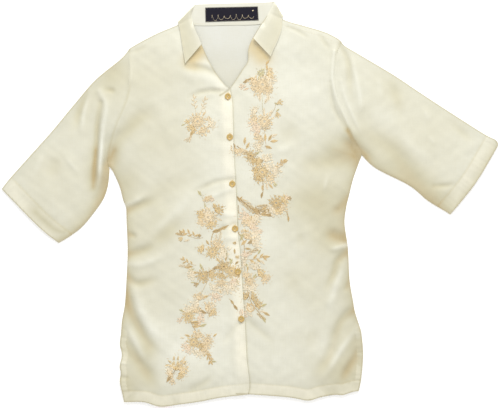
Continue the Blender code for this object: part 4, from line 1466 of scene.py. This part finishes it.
def drilled_button(name, place, finish):
    """One button with its four holes cut through it, made at a place."""
    disc = turned_solid([(r * BUTTON_RADIUS, h * MM) for r, h in BUTTON_PROFILE], BUTTON_SIDES)
    bmesh.ops.translate(disc, verts=disc.verts, vec=place)
    drills = bmesh.new()
    for k in range(4):
        angle = math.pi / 4 + k * math.pi / 2
        drill = turned_solid(DRILL_PROFILE, HOLE_SIDES)
        offset = Vector((HOLE_AWAY * math.cos(angle), HOLE_AWAY * math.sin(angle), 0)) + Vector(place)
        bmesh.ops.translate(drill, verts=drill.verts, vec=offset)
        part = bpy.data.meshes.new("drill")
        drill.to_mesh(part)
        drill.free()
        drills.from_mesh(part)
        bpy.data.meshes.remove(part)
    blank = object_from(name + "_blank", disc, finish)
    cutter = object_from(name + "_cutter", drills, finish)
    cut = blank.modifiers.new("holes", "BOOLEAN")
    cut.object = cutter
    cut.operation = "DIFFERENCE"
    cut.solver = "EXACT"
    evaluated = blank.evaluated_get(bpy.context.evaluated_depsgraph_get())
    mesh = bpy.data.meshes.new_from_object(evaluated)
    mesh.name = name
    bpy.data.objects.remove(blank)
    bpy.data.objects.remove(cutter)
    mesh.shade_smooth()
    mesh.set_sharp_from_angle(angle=math.radians(40))
    return placed(name, mesh)


right_top = surface_of(front_right)
button_thread = Threads()
hole_thread = Threads()
for k, (bx, by) in enumerate(BUTTONS, 1):
    x = bx * MM
    y = by * MM
    base = right_top(x, y)
    button = drilled_button(f"horn_button_{k}", (x, y, base + BUTTON_LIFT), horn)
    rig.ride(button, "root")
    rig.replaces(button, f"button_{k}")
    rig.slot(button, "button")
    seat = base + BUTTON_LIFT + BUTTON_WELL
    reach = HOLE_AWAY * math.cos(math.pi / 4)
    for side in (-1, 1):
        for strand in (-0.5, 0.5):
            shift = strand * 0.00034
            start = (x - reach + shift, y - side * reach + side * shift)
            end = (x + reach + shift, y + side * reach + side * shift)
            button_thread.lay(start, end, 0.00055, 0.00040, CROSS_THREAD, lambda _x, _y: seat - 0.0003)
    for n in range(SLIT_STITCHES):
        t = n / (SLIT_STITCHES - 1) * 2 - 1
        for side in (-1, 1):
            start = (x + side * 0.0002, y + t * SLIT_HALF)
            end = (x + side * 0.0016, y + t * SLIT_HALF)
            hole_thread.lay(start, end, 0.00025, 0.00042, SLIT_THREAD, right_top)
button_crosses = button_thread.finish("button_crosses")
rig.slot(button_crosses, "button")
buttonholes = hole_thread.finish("buttonholes")
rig.slot(buttonholes, "jusi_cloth")

# ---------------------------------------------------------------- the embroidery
# Sprays of flowers, buds, leaves and tendrils in pale, apricot, gold and brown silk, worked by hand through
# both fronts: narrow petals with a deeper line down each side, knots in the flowers, slanted satin stitch in
# the leaves, and stem stitch between.
SILK = 0.00046          # width of a strand
Tone = namedtuple("Tone", "main deep tip")
PALE = Tone(srgb(240, 226, 198), srgb(222, 202, 164), srgb(245, 237, 216))
ROSE = Tone(srgb(240, 218, 190), srgb(220, 193, 156), srgb(244, 231, 210))
APRICOT = Tone(srgb(234, 211, 170), srgb(208, 180, 134), srgb(243, 229, 198))
GOLDEN = Tone(srgb(226, 199, 148), srgb(194, 163, 111), srgb(239, 221, 178))
TAWNY = Tone(srgb(213, 186, 134), srgb(174, 144, 95), srgb(232, 211, 165))
OLIVE = Tone(srgb(214, 204, 160), srgb(184, 170, 124), srgb(227, 219, 181))
BARK = Tone(srgb(196, 170, 122), srgb(160, 131, 87), srgb(216, 193, 148))

# Each motif is its kind, the middle or base in millimetres, its size in millimetres, its heading in degrees
# and its tone. The ones on the wearer's right come first, from the shoulder down.
MOTIFS = (
    ("sprig", -97, 163, 30, 98, PALE), ("sprig", -88, 163, 28, 74, PALE), ("curl", -82, 168, 8, 60, PALE),
    ("bloom", -94, 148, 12.5, 20, APRICOT), ("bud", -80, 151, 10, 12, APRICOT),
    ("bud", -108, 147, 9, 172, GOLDEN), ("half", -87, 137, 13, -62, APRICOT),
    ("leaf", -117, 143, 6, 200, OLIVE), ("half", -101, 139, 10, 225, GOLDEN),
    ("leaf", -102, 133, 13, -112, TAWNY), ("leaf", -106, 121, 9, -105, PALE),
    ("leaf", -112, 118, 8, 215, PALE), ("leaf", -85, 158, 9, 55, APRICOT),
    ("leaf", -88, 15, 10, 122, OLIVE), ("half", -79, 13, 9, -60, APRICOT), ("bud", -70, 4, 8, 62, ROSE),
    ("leaf", -80, -8, 8, 98, OLIVE), ("bloom", -75, -24, 13, 50, APRICOT),
    ("half", -62, -13, 12, 38, TAWNY), ("half", -83, -20, 11, 172, GOLDEN),
    ("half", -71, -32, 11, -70, GOLDEN), ("leaf", -60, -26, 10, -20, PALE),
    ("half", -85, -30, 9, 222, APRICOT), ("leaf", -66, -8, 9, 66, GOLDEN),
    ("sprig", -92, -61, 32, 158, GOLDEN), ("bud", -91, -60, 6, 82, BARK),
    ("bud", -121, -60, 8, 216, GOLDEN), ("leaf", -122, -55, 9, 120, BARK),
    ("leaf", -108, -64, 10, 195, PALE), ("leaf", -100, -58, 9, 20, GOLDEN),
    ("leaf", -68, -50, 16, 12, BARK), ("leaf", -54, -46, 14, 24, TAWNY),
    ("sprig", -60, -50, 18, -95, PALE), ("half", -83, -82, 9, 160, GOLDEN),
    ("bloom", -67, -86, 11, 10, GOLDEN), ("half", -61, -78, 14, 58, APRICOT),
    ("leaf", -74, -73, 9, 120, TAWNY), ("half", -55, -90, 10, -25, PALE), ("leaf", -91, -80, 6, 250, BARK),
    ("sprig", -96, -110, 28, 160, GOLDEN), ("leaf", -102, -112, 14, 188, TAWNY),
    ("leaf", -100, -116, 11, 204, OLIVE), ("bloom", -84, -129, 10.5, 0, TAWNY),
    ("half", -73, -127, 11, 8, GOLDEN), ("leaf", -86, -118, 11, 108, OLIVE),
    ("leaf", -94, -124, 10, 168, GOLDEN), ("leaf", -52, -113, 14, 188, BARK),
    ("bloom", -47, -112, 10, 30, TAWNY), ("leaf", -54, -104, 10, 130, GOLDEN),
    ("leaf", -44, -102, 9, 80, TAWNY), ("bloom", -33, -120, 10.5, 15, GOLDEN),
    ("half", -25, -122, 10, -30, TAWNY), ("leaf", -36, -108, 10, 66, OLIVE),
    ("leaf", -27, -108, 9, 40, BARK), ("half", -50, -124, 10, -110, TAWNY),
    ("bud", -92, -142, 9, 205, BARK), ("leaf", -100, -140, 6, 190, OLIVE),
    ("half", -59, -146, 14, -122, PALE), ("half", -43, -146, 15, -78, PALE),
    ("half", -50, -136, 12, -95, APRICOT), ("half", -32, -135, 11, -60, ROSE),
    ("leaf", -25, -134, 12, -68, OLIVE), ("leaf", -56, -152, 9, -60, GOLDEN),
    ("half", -92, -172, 11, 76, APRICOT), ("leaf", -84, -168, 10, 20, GOLDEN),
    ("half", -92, -181, 13, 158, PALE), ("half", -80, -188, 14, 18, APRICOT),
    ("bud", -71, -184, 10, 12, PALE), ("leaf", -91, -190, 13, -28, BARK),
    ("half", -70, -192, 9, -35, GOLDEN), ("bloom", -110, -201, 10.5, 40, GOLDEN),
    ("bud", -121, -206, 10, 205, ROSE), ("leaf", -118, -193, 9, 158, OLIVE),
    ("half", -100, -194, 11, 60, APRICOT), ("half", -94, -204, 12, -12, ROSE),
    ("leaf", -106, -213, 17, 2, TAWNY), ("leaf", -104, -220, 15, 8, GOLDEN),
    ("leaf", -90, -220, 12, 22, OLIVE), ("half", -93, -240, 11, 88, APRICOT),
    ("leaf", -107, -238, 10, 160, GOLDEN), ("bloom", -101, -248, 10, 10, GOLDEN),
    ("bloom", -76, -246, 9.5, 30, APRICOT), ("half", -88, -250, 10, -80, TAWNY),
    ("half", -108, -256, 12, 205, ROSE), ("half", -84, -256, 11, -40, APRICOT),
    ("sprig", -85, -258, 31, -58, GOLDEN), ("leaf", -70, -282, 9, -5, OLIVE),
    ("leaf", -66, -238, 8, 42, GOLDEN), ("leaf", -80, -268, 11, -20, TAWNY),
    ("leaf", -118, -240, 7, 180, PALE), ("half", -134, -298, 20, 78, GOLDEN),
    ("half", -127, -298, 14, 20, APRICOT), ("half", -139, -300, 12, 150, PALE),
    ("half", -127, -303, 10, -45, GOLDEN), ("leaf", -141, -306, 15, -122, BARK),
    ("bud", -138, -312, 12, -100, APRICOT), ("leaf", -122, -284, 12, 62, PALE),
    ("half", -140, -303, 8, 215, APRICOT), ("bud", -31, -70, 6, 0, TAWNY),
    ("bud", -26, -93, 7, -30, GOLDEN), ("leaf", -31, -102, 8, 150, OLIVE),
    ("leaf", -28, -80, 9, -84, TAWNY), ("leaf", -29, -180, 10, 126, TAWNY),
    ("leaf", -22, -190, 12, 128, BARK),
    # the wearer's left
    ("leaf", 31, 240, 10, 96, GOLDEN), ("bud", 33, 238, 8, 40, APRICOT), ("half", 24, 231, 10, 150, OLIVE),
    ("half", 31, 231, 10, 14, GOLDEN), ("leaf", 30, 230, 9, -84, GOLDEN), ("bud", 36, 228, 6, -30, BARK),
    ("leaf", 28, 250, 10, 50, GOLDEN), ("leaf", 0, 224, 13, 206, BARK), ("leaf", 8, 226, 11, 190, TAWNY),
    ("bloom", 22, 214, 14, 30, APRICOT), ("half", 12, 217, 13, 168, APRICOT),
    ("half", 15, 209, 12, -118, APRICOT), ("half", 30, 208, 12, -42, APRICOT),
    ("half", 31, 217, 11, 18, PALE), ("bud", -8, 212, 11, 188, ROSE), ("leaf", -2, 208, 10, 200, ROSE),
    ("leaf", 18, 184, 16, 94, PALE), ("leaf", 34, 185, 14, 100, PALE), ("leaf", 26, 180, 12, 60, PALE),
    ("bud", 48, 180, 11, 20, GOLDEN), ("leaf", 50, 178, 7, 150, OLIVE), ("bud", 48, 165, 10, -74, GOLDEN),
    ("leaf", 47, 166, 7, 40, OLIVE), ("half", 12, 165, 9, 140, PALE), ("bloom", 26, 148, 13.5, 0, APRICOT),
    ("half", 13, 152, 12, 176, APRICOT), ("leaf", 24, 161, 11, 84, PALE), ("leaf", 34, 159, 11, 58, PALE),
    ("vein", 17, 135, 19, -2, TAWNY), ("half", 18, 130, 11, 160, ROSE),
    ("half", 20, 122, 11, 220, APRICOT), ("leaf", 27, 113, 12, 88, GOLDEN),
    ("leaf", 33, 113, 12, 62, TAWNY), ("leaf", 37, 120, 12, 24, PALE), ("leaf", 36, 112, 13, 6, GOLDEN),
    ("leaf", 27, 104, 12, -20, TAWNY), ("half", 18, 106, 11, 214, PALE),
    ("leaf", -10, 107, 12, 84, GOLDEN), ("leaf", -27, 98, 11, 104, BARK),
    ("half", -17, 100, 11, -90, APRICOT), ("half", -25, 100, 9, -120, APRICOT),
    ("leaf", -7, 99, 12, 62, GOLDEN), ("bloom", 1, 86, 9.5, 0, TAWNY), ("half", 5, 80, 9, -56, TAWNY),
    ("half", 12, 78, 9, -18, GOLDEN), ("bud", 17, 77, 6, 0, BARK), ("leaf", 10, 88, 9, 40, OLIVE),
    ("bloom", 22, 57, 12.5, 25, GOLDEN), ("half", 32, 60, 14, 62, PALE), ("half", 40, 59, 14, 10, PALE),
    ("half", 18, 50, 11, -132, TAWNY), ("half", 33, 50, 12, -48, APRICOT), ("half", 14, 60, 9, 170, TAWNY),
    ("sprig", 38, 64, 28, 30, GOLDEN), ("leaf", 55, 73, 13, 22, TAWNY), ("bud", 43, 38, 7, -62, OLIVE),
    ("leaf", 22, 34, 9, -88, GOLDEN), ("leaf", 29, 38, 12, -80, PALE), ("leaf", 22, 21, 10, -100, BARK),
    ("leaf", 34, 36, 10, -50, GOLDEN), ("bloom", 47, 2, 11, 10, TAWNY), ("half", 54, -4, 12, -42, APRICOT),
    ("half", 57, 5, 10, 30, GOLDEN), ("bud", 62, 8, 9, 40, ROSE), ("bud", 67, 9, 7, 12, BARK),
    ("vein", 66, -12, 18, -80, GOLDEN), ("leaf", 69, -22, 9, -92, TAWNY),
    ("half", 50, -8, 10, -90, GOLDEN), ("leaf", -17, 4, 11, 122, BARK), ("leaf", -20, 6, 9, 50, TAWNY),
    ("half", 16, -12, 10, 202, BARK), ("leaf", 24, -14, 14, 20, BARK), ("leaf", 26, -18, 14, -14, BARK),
    ("leaf", 18, -18, 16, -4, TAWNY), ("leaf", 20, -11, 12, 30, GOLDEN), ("vein", -21, -2, 16, -88, BARK),
    ("half", -2, -20, 16, 208, ROSE), ("half", 3, -22, 16, 254, APRICOT), ("half", 8, -20, 13, -48, PALE),
    ("half", -3, -28, 11, 240, APRICOT), ("leaf", 8, -53, 14, 28, PALE), ("bud", 14, -50, 8, 4, ROSE),
    ("leaf", -19, -57, 13, 8, OLIVE), ("leaf", -5, -71, 15, 24, BARK), ("leaf", -16, -74, 13, 44, GOLDEN),
    ("leaf", 3, -62, 14, 40, PALE), ("leaf", -9, -80, 10, -4, TAWNY), ("leaf", -14, -46, 10, -20, GOLDEN),
    ("half", 8, -60, 11, 60, PALE), ("leaf", -18, -66, 12, 60, OLIVE), ("sprig", -12, -100, 42, 6, GOLDEN),
    ("leaf", 14, -90, 9, 58, OLIVE), ("leaf", 22, -94, 10, -4, TAWNY), ("half", -7, -95, 10, 96, ROSE),
    ("leaf", 20, -101, 9, -50, PALE), ("leaf", -8, -106, 10, -60, OLIVE),
    ("vein", -8, -140, 30, 26, GOLDEN), ("half", 15, -127, 12, 24, GOLDEN),
    ("half", 25, -130, 11, -48, APRICOT), ("half", -6, -132, 10, 106, APRICOT),
    ("bloom", -1, -139, 8.5, 0, APRICOT), ("half", 2, -145, 10, -48, PALE),
    ("half", -4, -147, 11, 238, PALE), ("leaf", 6, -134, 10, 60, OLIVE), ("leaf", -4, -120, 9, 92, GOLDEN),
    ("half", -4, -168, 10, 150, TAWNY), ("half", 2, -169, 10, 16, TAWNY), ("ring", 1, -186, 8, 0, APRICOT),
    ("half", 10, -183, 10, 26, TAWNY), ("leaf", -5, -177, 9, -60, GOLDEN),
    ("leaf", 18, -184, 12, 22, OLIVE), ("leaf", 16, -192, 12, -10, PALE),
    ("leaf", 24, -194, 12, -28, TAWNY), ("leaf", 23, -202, 11, -66, OLIVE),
    ("half", -9, -192, 10, 226, ROSE), ("fern", -22, 11, 42, -38, GOLDEN), ("fern", 6, -9, 32, -16, TAWNY),
    ("half", -70, -16, 14, 200, PALE), ("half", -52, -88, 14, 20, PALE),
    ("half", -108, -194, 12, 120, PALE), ("half", -90, -262, 13, -110, PALE),
    ("half", 34, 222, 13, 60, PALE), ("half", 12, 146, 14, 230, ROSE), ("half", 28, 76, 13, 80, PALE),
    ("half", 44, -8, 13, 220, PALE), ("half", 2, -188, 13, 200, PALE), ("half", -34, -142, 14, -60, PALE),
    ("half", -100, -124, 12, 200, PALE), ("half", 8, -118, 13, 80, PALE), ("fern", 12, -4, 20, 4, GOLDEN),
    ("half", 0, -44, 16, 30, ROSE), ("half", 4, -72, 17, 26, PALE), ("half", -8, -62, 15, 56, APRICOT),
    ("fern", -6, -88, 24, 18, GOLDEN), ("half", -8, -110, 14, 150, PALE), ("fern", 14, 96, 24, 66, PALE),
    ("fern", 26, 196, 22, 110, PALE), ("fern", -104, 124, 16, 232, PALE), ("fern", -56, -70, 22, 80, PALE),
    ("fern", -118, -56, 16, 168, GOLDEN), ("fern", -110, -112, 18, 176, PALE),
    ("fern", -78, -262, 22, -66, APRICOT), ("fern", 12, -196, 20, -36, GOLDEN),
    ("fern", -40, -96, 16, 110, OLIVE), ("half", -74, 142, 12, 24, PALE),
    ("half", -60, -160, 12, -100, ROSE), ("fern", 46, 60, 22, 48, PALE),
)
# Stems: their tone and thickness in threads, and the points they pass through, in millimetres.
STEMS = (
    (TAWNY, 2, ((-96, 160), (-98, 140), (-104, 124), (-109, 110))),
    (OLIVE, 1, ((-90, 24), (-84, 8), (-78, -10))),
    (TAWNY, 2, ((-38, -38), (-54, -44), (-66, -52), (-70, -70), (-66, -84))),
    (TAWNY, 1, ((-124, -50), (-110, -57), (-94, -62), (-84, -60))),
    (BARK, 3, ((-96, -122), (-84, -126), (-66, -118), (-48, -112), (-32, -118), (-18, -126))),
    (OLIVE, 1, ((-84, -132), (-92, -142), (-98, -148))),
    (GOLDEN, 1, ((-72, -130), (-84, -154), (-92, -172), (-96, -190), (-108, -200))),
    (BARK, 2, ((-92, -184), (-84, -192), (-70, -198))),
    (TAWNY, 2, ((-108, -208), (-98, -228), (-96, -244), (-86, -256), (-76, -272), (-66, -284))),
    (BARK, 2, ((-130, -292), (-138, -304), (-147, -318))),
    (TAWNY, 1, ((30, 256), (30, 238), (26, 220))),
    (BARK, 2, ((-10, 216), (2, 224), (14, 220))),
    (OLIVE, 1, ((24, 200), (22, 180), (24, 160))),
    (TAWNY, 1, ((46, 182), (44, 170), (36, 158))),
    (GOLDEN, 1, ((26, 136), (28, 112), (30, 98))),
    (BARK, 2, ((-24, 104), (-12, 96), (2, 86), (14, 77), (22, 66))),
    (TAWNY, 2, ((22, 46), (24, 30), (22, 14))),
    (BARK, 2, ((-22, 12), (-8, 1), (6, -10), (20, -16), (38, -19))),
    (TAWNY, 2, ((36, -18), (44, -8), (52, 0), (66, 10))),
    (TAWNY, 1, ((60, -6), (67, -18), (70, -30))),
    (TAWNY, 2, ((-22, -50), (-12, -66), (-10, -84), (-10, -100), (-9, -120), (-8, -140))),
    (GOLDEN, 1, ((-10, -56), (4, -52), (18, -48))),
    (TAWNY, 2, ((-6, -146), (-2, -164), (4, -180), (14, -192), (26, -208))),
)

silk_random = np.random.default_rng(23)


class Needle:
    """Works silk through whichever front is uppermost at a stitch."""

    def __init__(self, right, left):
        self.sides = ((Threads(), surface_of(right)), (Threads(), surface_of(left)))

    def stitch(self, start, end, arch, dye, width=SILK):
        """One stitch, dyed a little unevenly. A stitch that would cross the lap is left out."""
        over_right = [edge_side(p[0], p[1]) > 0.0006 for p in (start, end)]
        if over_right[0] != over_right[1]:
            return
        threads, surface = self.sides[0 if over_right[0] else 1]
        middle = (0.5 * (start[0] + end[0]), 0.5 * (start[1] + end[1]))
        heights = [surface(*start), surface(*middle), surface(*end)]
        if None in heights:
            return
        shade = silk_random.uniform(0.90, 1.08)
        dye = (dye[0] * shade, dye[1] * shade, dye[2] * shade, 1)
        run = np.array(end) - np.array(start)
        length2 = max(run @ run, 1e-12)

        def base(x, y):
            t = min(max(((x - start[0]) * run[0] + (y - start[1]) * run[1]) / length2, 0), 1)
            if t < 0.5:
                return heights[0] + 2 * t * (heights[1] - heights[0])
            return heights[1] + (2 * t - 1) * (heights[2] - heights[1])
        threads.lay(start, end, arch, width, dye, base)


def along(place, heading, distance):
    """The point at a distance from a place, in a heading."""
    return (place[0] + distance * math.cos(heading), place[1] + distance * math.sin(heading))


def work_plume(needle, place, heading, length, curve, width, tone):
    """A narrow bent petal: pale silk laid along it, with a finer and deeper line down each side."""
    spine = [place]
    turns = []
    for k in range(3):
        turns.append(heading + curve * (k - 0.5))
        spine.append(along(spine[-1], turns[-1], length / 3))
    turns.append(turns[-1])
    for offset in (-0.30, 0.0, 0.30, -0.54, 0.54):
        path = []
        for spot, turn, full in zip(spine, turns, (0.35, 0.85, 1.0, 0.22)):
            path.append(along(spot, turn + math.pi / 2, offset * full * width))
        outer = abs(offset) > 0.5
        dye = tone.deep if outer else tone.main if offset == 0 else tone.tip
        for start, end in zip(path, path[1:]):
            if outer and silk_random.uniform() < 0.30:
                continue
            needle.stitch(start, end, 0.00060 if outer else 0.00055, dye, 0.00042 if outer else 0.00080)


def work_knots(needle, place, radius, tone):
    """French knots in the middle of a flower: small crossed stitches."""
    for k in range(6):
        spot = along(place, 2.4 * k, radius * math.sqrt(k / 6))
        for turn in (0.3, 1.9):
            needle.stitch(along(spot, turn, -0.0006), along(spot, turn, 0.0006), 0.0011, tone.deep)


def work_frill(needle, place, reach, tone, count):
    """Loose fine stitches that stand out around a flower."""
    for k in range(count):
        angle = 2 * math.pi * (k + silk_random.uniform(0, 1)) / count
        inner = reach * silk_random.uniform(0.80, 1.05)
        outer = inner + silk_random.uniform(0.0022, 0.0054)
        dye = tone.main if k % 3 else tone.deep
        needle.stitch(along(place, angle, inner), along(place, angle + 0.12, outer), 0.0003, dye, 0.00036)


def work_bloom(needle, place, radius, heading, tone):
    """An open flower of many narrow petals, in two rings around its knots."""
    radius *= 1.28
    work_frill(needle, place, radius, tone, 14)
    for ring, reach in enumerate((1.0, 0.62)):
        count = max(7, round(2 * math.pi * 0.7 * reach * radius / 0.0050))
        for k in range(count):
            turn = heading + (k + 0.5 * ring + silk_random.uniform(-0.22, 0.22)) * 2 * math.pi / count
            size = radius * reach * silk_random.uniform(0.84, 1.10)
            curve = silk_random.uniform(-0.35, 0.35)
            start = along(place, turn, 0.13 * radius)
            work_plume(needle, start, turn, size - 0.13 * radius, curve, 0.0040, tone)
    work_knots(needle, place, 0.16 * radius, tone)


def work_half(needle, place, length, heading, tone):
    """A flower from the side: a fan of narrow petals from one cup, with shorter ones over them."""
    length *= 1.36
    work_frill(needle, along(place, heading, 0.4 * length), 0.7 * length, tone, 9)
    for count, reach in ((7, 1.0), (3, 0.62)):
        for k in range(count):
            turn = 2.5 * ((k + silk_random.uniform(0.3, 0.7)) / count - 0.5)
            size = length * reach * silk_random.uniform(0.80, 1.08) * (1 - 0.12 * abs(turn))
            curve = 0.30 * turn + silk_random.uniform(-0.25, 0.25)
            work_plume(needle, place, heading + turn, size, curve, min(0.27 * length, 0.0040), tone)
    for k in range(4):
        side = along(place, heading + math.pi / 2, (k - 1.5) * 0.0005)
        tip = along(side, heading, 0.18 * length)
        needle.stitch(along(side, heading, -0.0006), tip, 0.0010, tone.deep)


def work_bud(needle, place, length, heading, tone):
    """A closed flower: two petals with a third over them."""
    length *= 1.15
    width = min(0.3 * length, 0.0030)
    for turn, size in ((-0.42, 0.86), (0.42, 0.90), (0.0, 1.0)):
        work_plume(needle, place, heading + turn, size * length, 0.3 * turn, width, tone)


def work_leaf(needle, place, length, heading, tone, width=0.40):
    """A leaf in two slanted rows of satin stitch, with a midrib."""
    length *= 1.15
    count = max(6, round(0.8 * length / SILK))
    for side in (-1, 1):
        for k in range(count):
            t = (k + 0.5) / count
            reach = 0.5 * width * length * math.sin(math.pi * t ** 0.75)
            middle = along(place, heading, 0.88 * t * length)
            edge = along(place, heading, (0.88 * t + 0.10) * length)
            edge = along(edge, heading + side * math.pi / 2, reach)
            needle.stitch(middle, edge, 0.0004, tone.main if (k + side) % 3 else tone.tip)
    spine = max(2, round(length / 0.0024))
    for k in range(spine):
        start = along(place, heading, length * (k - 0.3) / spine)
        needle.stitch(start, along(place, heading, length * (k + 0.8) / spine), 0.0006, tone.deep, 0.00042)


def work_stem(needle, points, strands, tone):
    """Stem stitch along a line: overlapping slanted stitches, in one row or more."""
    line = flow(points, 0.0016)
    for k in range(0, len(line) - 2):
        heading = math.atan2(*(line[k + 2] - line[k])[::-1])
        for strand in range(strands):
            shift = (strand - 0.5 * (strands - 1)) * 0.00055
            start = along(line[k], heading + math.pi / 2, shift - 0.00018)
            end = along(line[k + 2], heading + math.pi / 2, shift + 0.00018)
            needle.stitch(start, end, 0.00035, tone.main if (k + strand) % 3 else tone.deep, 0.00046)


def arc(place, length, heading, curve):
    """Points in millimetres along a bent line from a place."""
    spots = [(place[0] / MM, place[1] / MM)]
    for k in range(6):
        turn = heading + curve * (k / 5 - 0.4)
        x, y = spots[-1]
        spots.append((x + length / 6 / MM * math.cos(turn), y + length / 6 / MM * math.sin(turn)))
    return spots


def work_sprig(needle, place, length, heading, tone):
    """A bent stem with leaves on alternate sides and one at its tip."""
    spots = arc(place, 0.85 * length, heading, silk_random.uniform(-0.9, 0.9))
    work_stem(needle, spots, 1, tone)
    for k in range(2, 7):
        side = 1 if k % 2 else -1
        spot = (spots[k][0] * MM, spots[k][1] * MM)
        work_leaf(needle, spot, length * silk_random.uniform(0.20, 0.28), heading + side * 0.8, tone, 0.42)
    work_leaf(needle, (spots[-1][0] * MM, spots[-1][1] * MM), 0.28 * length, heading, tone, 0.42)


def work_vein(needle, place, length, heading, tone):
    """A long thin leaf, drawn by its two edges in stem stitch."""
    for curve in (0.5, -0.5):
        work_stem(needle, arc(place, length, heading, curve), 1, tone)


def work_fern(needle, place, length, heading, tone):
    """A bent rib with fine barbs close together on both sides."""
    spots = flow(arc(place, length, heading, silk_random.uniform(-0.3, 0.3)), 0.0017)
    for k in range(len(spots) - 1):
        turn = math.atan2(*(spots[k + 1] - spots[k])[::-1])
        needle.stitch(spots[k], spots[k + 1], 0.0007, tone.deep, 0.0005)
        part = k / len(spots)
        barb = length * (0.10 + 0.22 * math.sin(math.pi * min(part + 0.15, 1)))
        for side in (-1, 1):
            aim = turn + side * silk_random.uniform(0.45, 0.75)
            dye = (tone.main, tone.tip, tone.main, tone.deep)[(k + side) % 4]
            middle = along(spots[k], aim, 0.55 * barb)
            needle.stitch(spots[k], middle, 0.0005, dye, 0.00055)
            needle.stitch(middle, along(middle, aim - 0.25 * side, 0.45 * barb), 0.0005, dye, 0.00050)


def work_curl(needle, place, size, heading, tone):
    """A tendril that winds in on itself."""
    spots = []
    for k in range(12):
        radius = size * (1 - k / 14)
        x, y = along(place, heading + 0.62 * k, radius)
        spots.append((x / MM, y / MM))
    work_stem(needle, spots, 1, tone)


def work_ring(needle, place, size, heading, tone):
    """A small open trumpet: a ring of radial satin stitch with a paler throat."""
    count = round(2 * math.pi * size / (1.2 * SILK))
    for k in range(count):
        angle = heading + 2 * math.pi * k / count
        colour = tone.deep if k % 3 == 0 else tone.main
        needle.stitch(along(place, angle, 0.62 * size), along(place, angle, size), 0.0008, colour)
    for k in range(14):
        angle = heading + 2 * math.pi * k / 14
        colour = tone.tip if k % 2 else tone.main
        needle.stitch(place, along(place, angle, 0.62 * size), 0.0003, colour, 0.0006)


WORK = {"bloom": work_bloom, "half": work_half, "bud": work_bud, "leaf": work_leaf, "sprig": work_sprig,
        "vein": work_vein, "fern": work_fern, "curl": work_curl, "ring": work_ring}
needle = Needle(front_right, front_left)
for tone, strands, points in STEMS:
    work_stem(needle, points, strands, tone)
for kind, x, y, size, heading, tone in MOTIFS:
    WORK[kind](needle, (x * MM, y * MM), size * MM, math.radians(heading), tone)
embroidery_right = needle.sides[0][0].finish("embroidery_right")
embroidery_left = needle.sides[1][0].finish("embroidery_left")
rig.slot(embroidery_right, "embroidery")
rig.slot(embroidery_left, "embroidery")

# ---------------------------------------------------------------- the sheets as they were cut
# Each piece of cloth was cut flat from jusi and sewn. The cut of the back and of each front is its outline
# as it lies, with 10 mm for each seam and with its hems, vents and facings let down, and a sleeve's is its tube
# opened out with its hem let down. The collar and its stand are doubled, the label is not, and the cuts of all
# three are taken at their size as they lie.
SEAM = 0.010


def shape_area(outline):
    """The area inside a closed outline."""
    x, y = outline.T
    return 0.5 * abs(np.dot(x, np.roll(y, 1)) - np.dot(y, np.roll(x, 1)))


def run_of(line):
    """The length of a line."""
    return np.hypot(*np.diff(line, axis=0).T).sum()


def box_of(outline):
    """The width and length that an outline takes up."""
    return tuple(float(v) for v in np.ptp(outline, axis=0))


def cut_flat(outline, more_across, more_down, turned_area):
    """The width and length of the cloth that a laid piece was cut from, and the area of the cut."""
    across, down = np.ptp(outline, axis=0) + (more_across, more_down)
    seams = run_of(outline) * SEAM
    return {"flat": (float(across), float(down)), "area": float(shape_area(outline) + turned_area + seams)}


hem_turned = HEM * (run_of(hem_right) + run_of(hem_left))
vents_turned = VENT_TURN * (run_of(vent_right) + run_of(vent_left))
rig.sheet(back, held="laid", rests_on=["table"],
         **cut_flat(body_outline, 2 * VENT_TURN, HEM + SEAM, hem_turned + vents_turned))
right_turned = HEM * run_of(hem_right) + VENT_TURN * run_of(vent_right) + FACING * run_of(right_edge)
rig.sheet(front_right, held="laid", rests_on=[back],
         with_pieces=[right_front_stitches, embroidery_right, buttonholes],
         **cut_flat(right_outline, VENT_TURN + FACING, HEM + SEAM, right_turned))
left_turned = HEM * run_of(hem_left) + VENT_TURN * run_of(vent_left) + LEFT_FACING * run_of(right_edge)
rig.sheet(front_left, held="laid", rests_on=[back], with_pieces=[left_front_stitches, embroidery_left],
         **cut_flat(left_outline, VENT_TURN + LEFT_FACING, HEM + SEAM, left_turned))
for sleeve, stitches, lines, armhole in ((sleeve_right, cuff_stitches[0], SLEEVE_RIGHT, RIGHT["armhole"]),
                                         (sleeve_left, cuff_stitches[1], SLEEVE_LEFT, LEFT["armhole"])):
    # a sleeve opens out to twice its width; its length is along the fold
    hole = flow(armhole)
    cuff = flow(lines["cuff"])
    length = run_of(flow(lines["top"])) + SLEEVE_HEM + SEAM
    tube = joined(hole, flow(lines["under"]), cuff[::-1], flow(lines["top"])[::-1])
    area = 2 * shape_area(tube) + 2 * SLEEVE_HEM * run_of(cuff)
    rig.sheet(sleeve, flat=(float(2 * run_of(hole)), float(length)), held="laid", rests_on=["table"],
             area=float(area), with_pieces=[stitches])
stand_edges = joined(flow(STAND))
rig.sheet(stand, flat=box_of(stand_edges), held="laid", rests_on=[back, fall],
         area=float(shape_area(stand_edges)), with_pieces=[stand_stitches])
fall_steps = np.hypot(*np.moveaxis(np.diff(fall_grid[:, :, :2], axis=0), 2, 0)).sum(axis=0)
fall_widths = np.hypot(*(fall_grid[:, -1, :2] - fall_grid[:, 0, :2]).T)
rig.sheet(fall, flat=(float(fall_steps.max()), float(fall_widths.max())), held="folded",
         rests_on=[front_right, front_left], area=float(fall_steps.mean() * fall_widths.mean()),
         with_pieces=[collar_stitches])
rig.sheet(label, flat=box_of(label_edges), held="laid", rests_on=[stand],
         area=float(shape_area(label_edges[:-1])), with_pieces=[label_scroll, label_stitches])

low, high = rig.bounds()
with open("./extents.json", "w") as report:
    json.dump({"cad": [list(corner) for corner in cad_box], "visual": [list(low), list(high)]}, report)
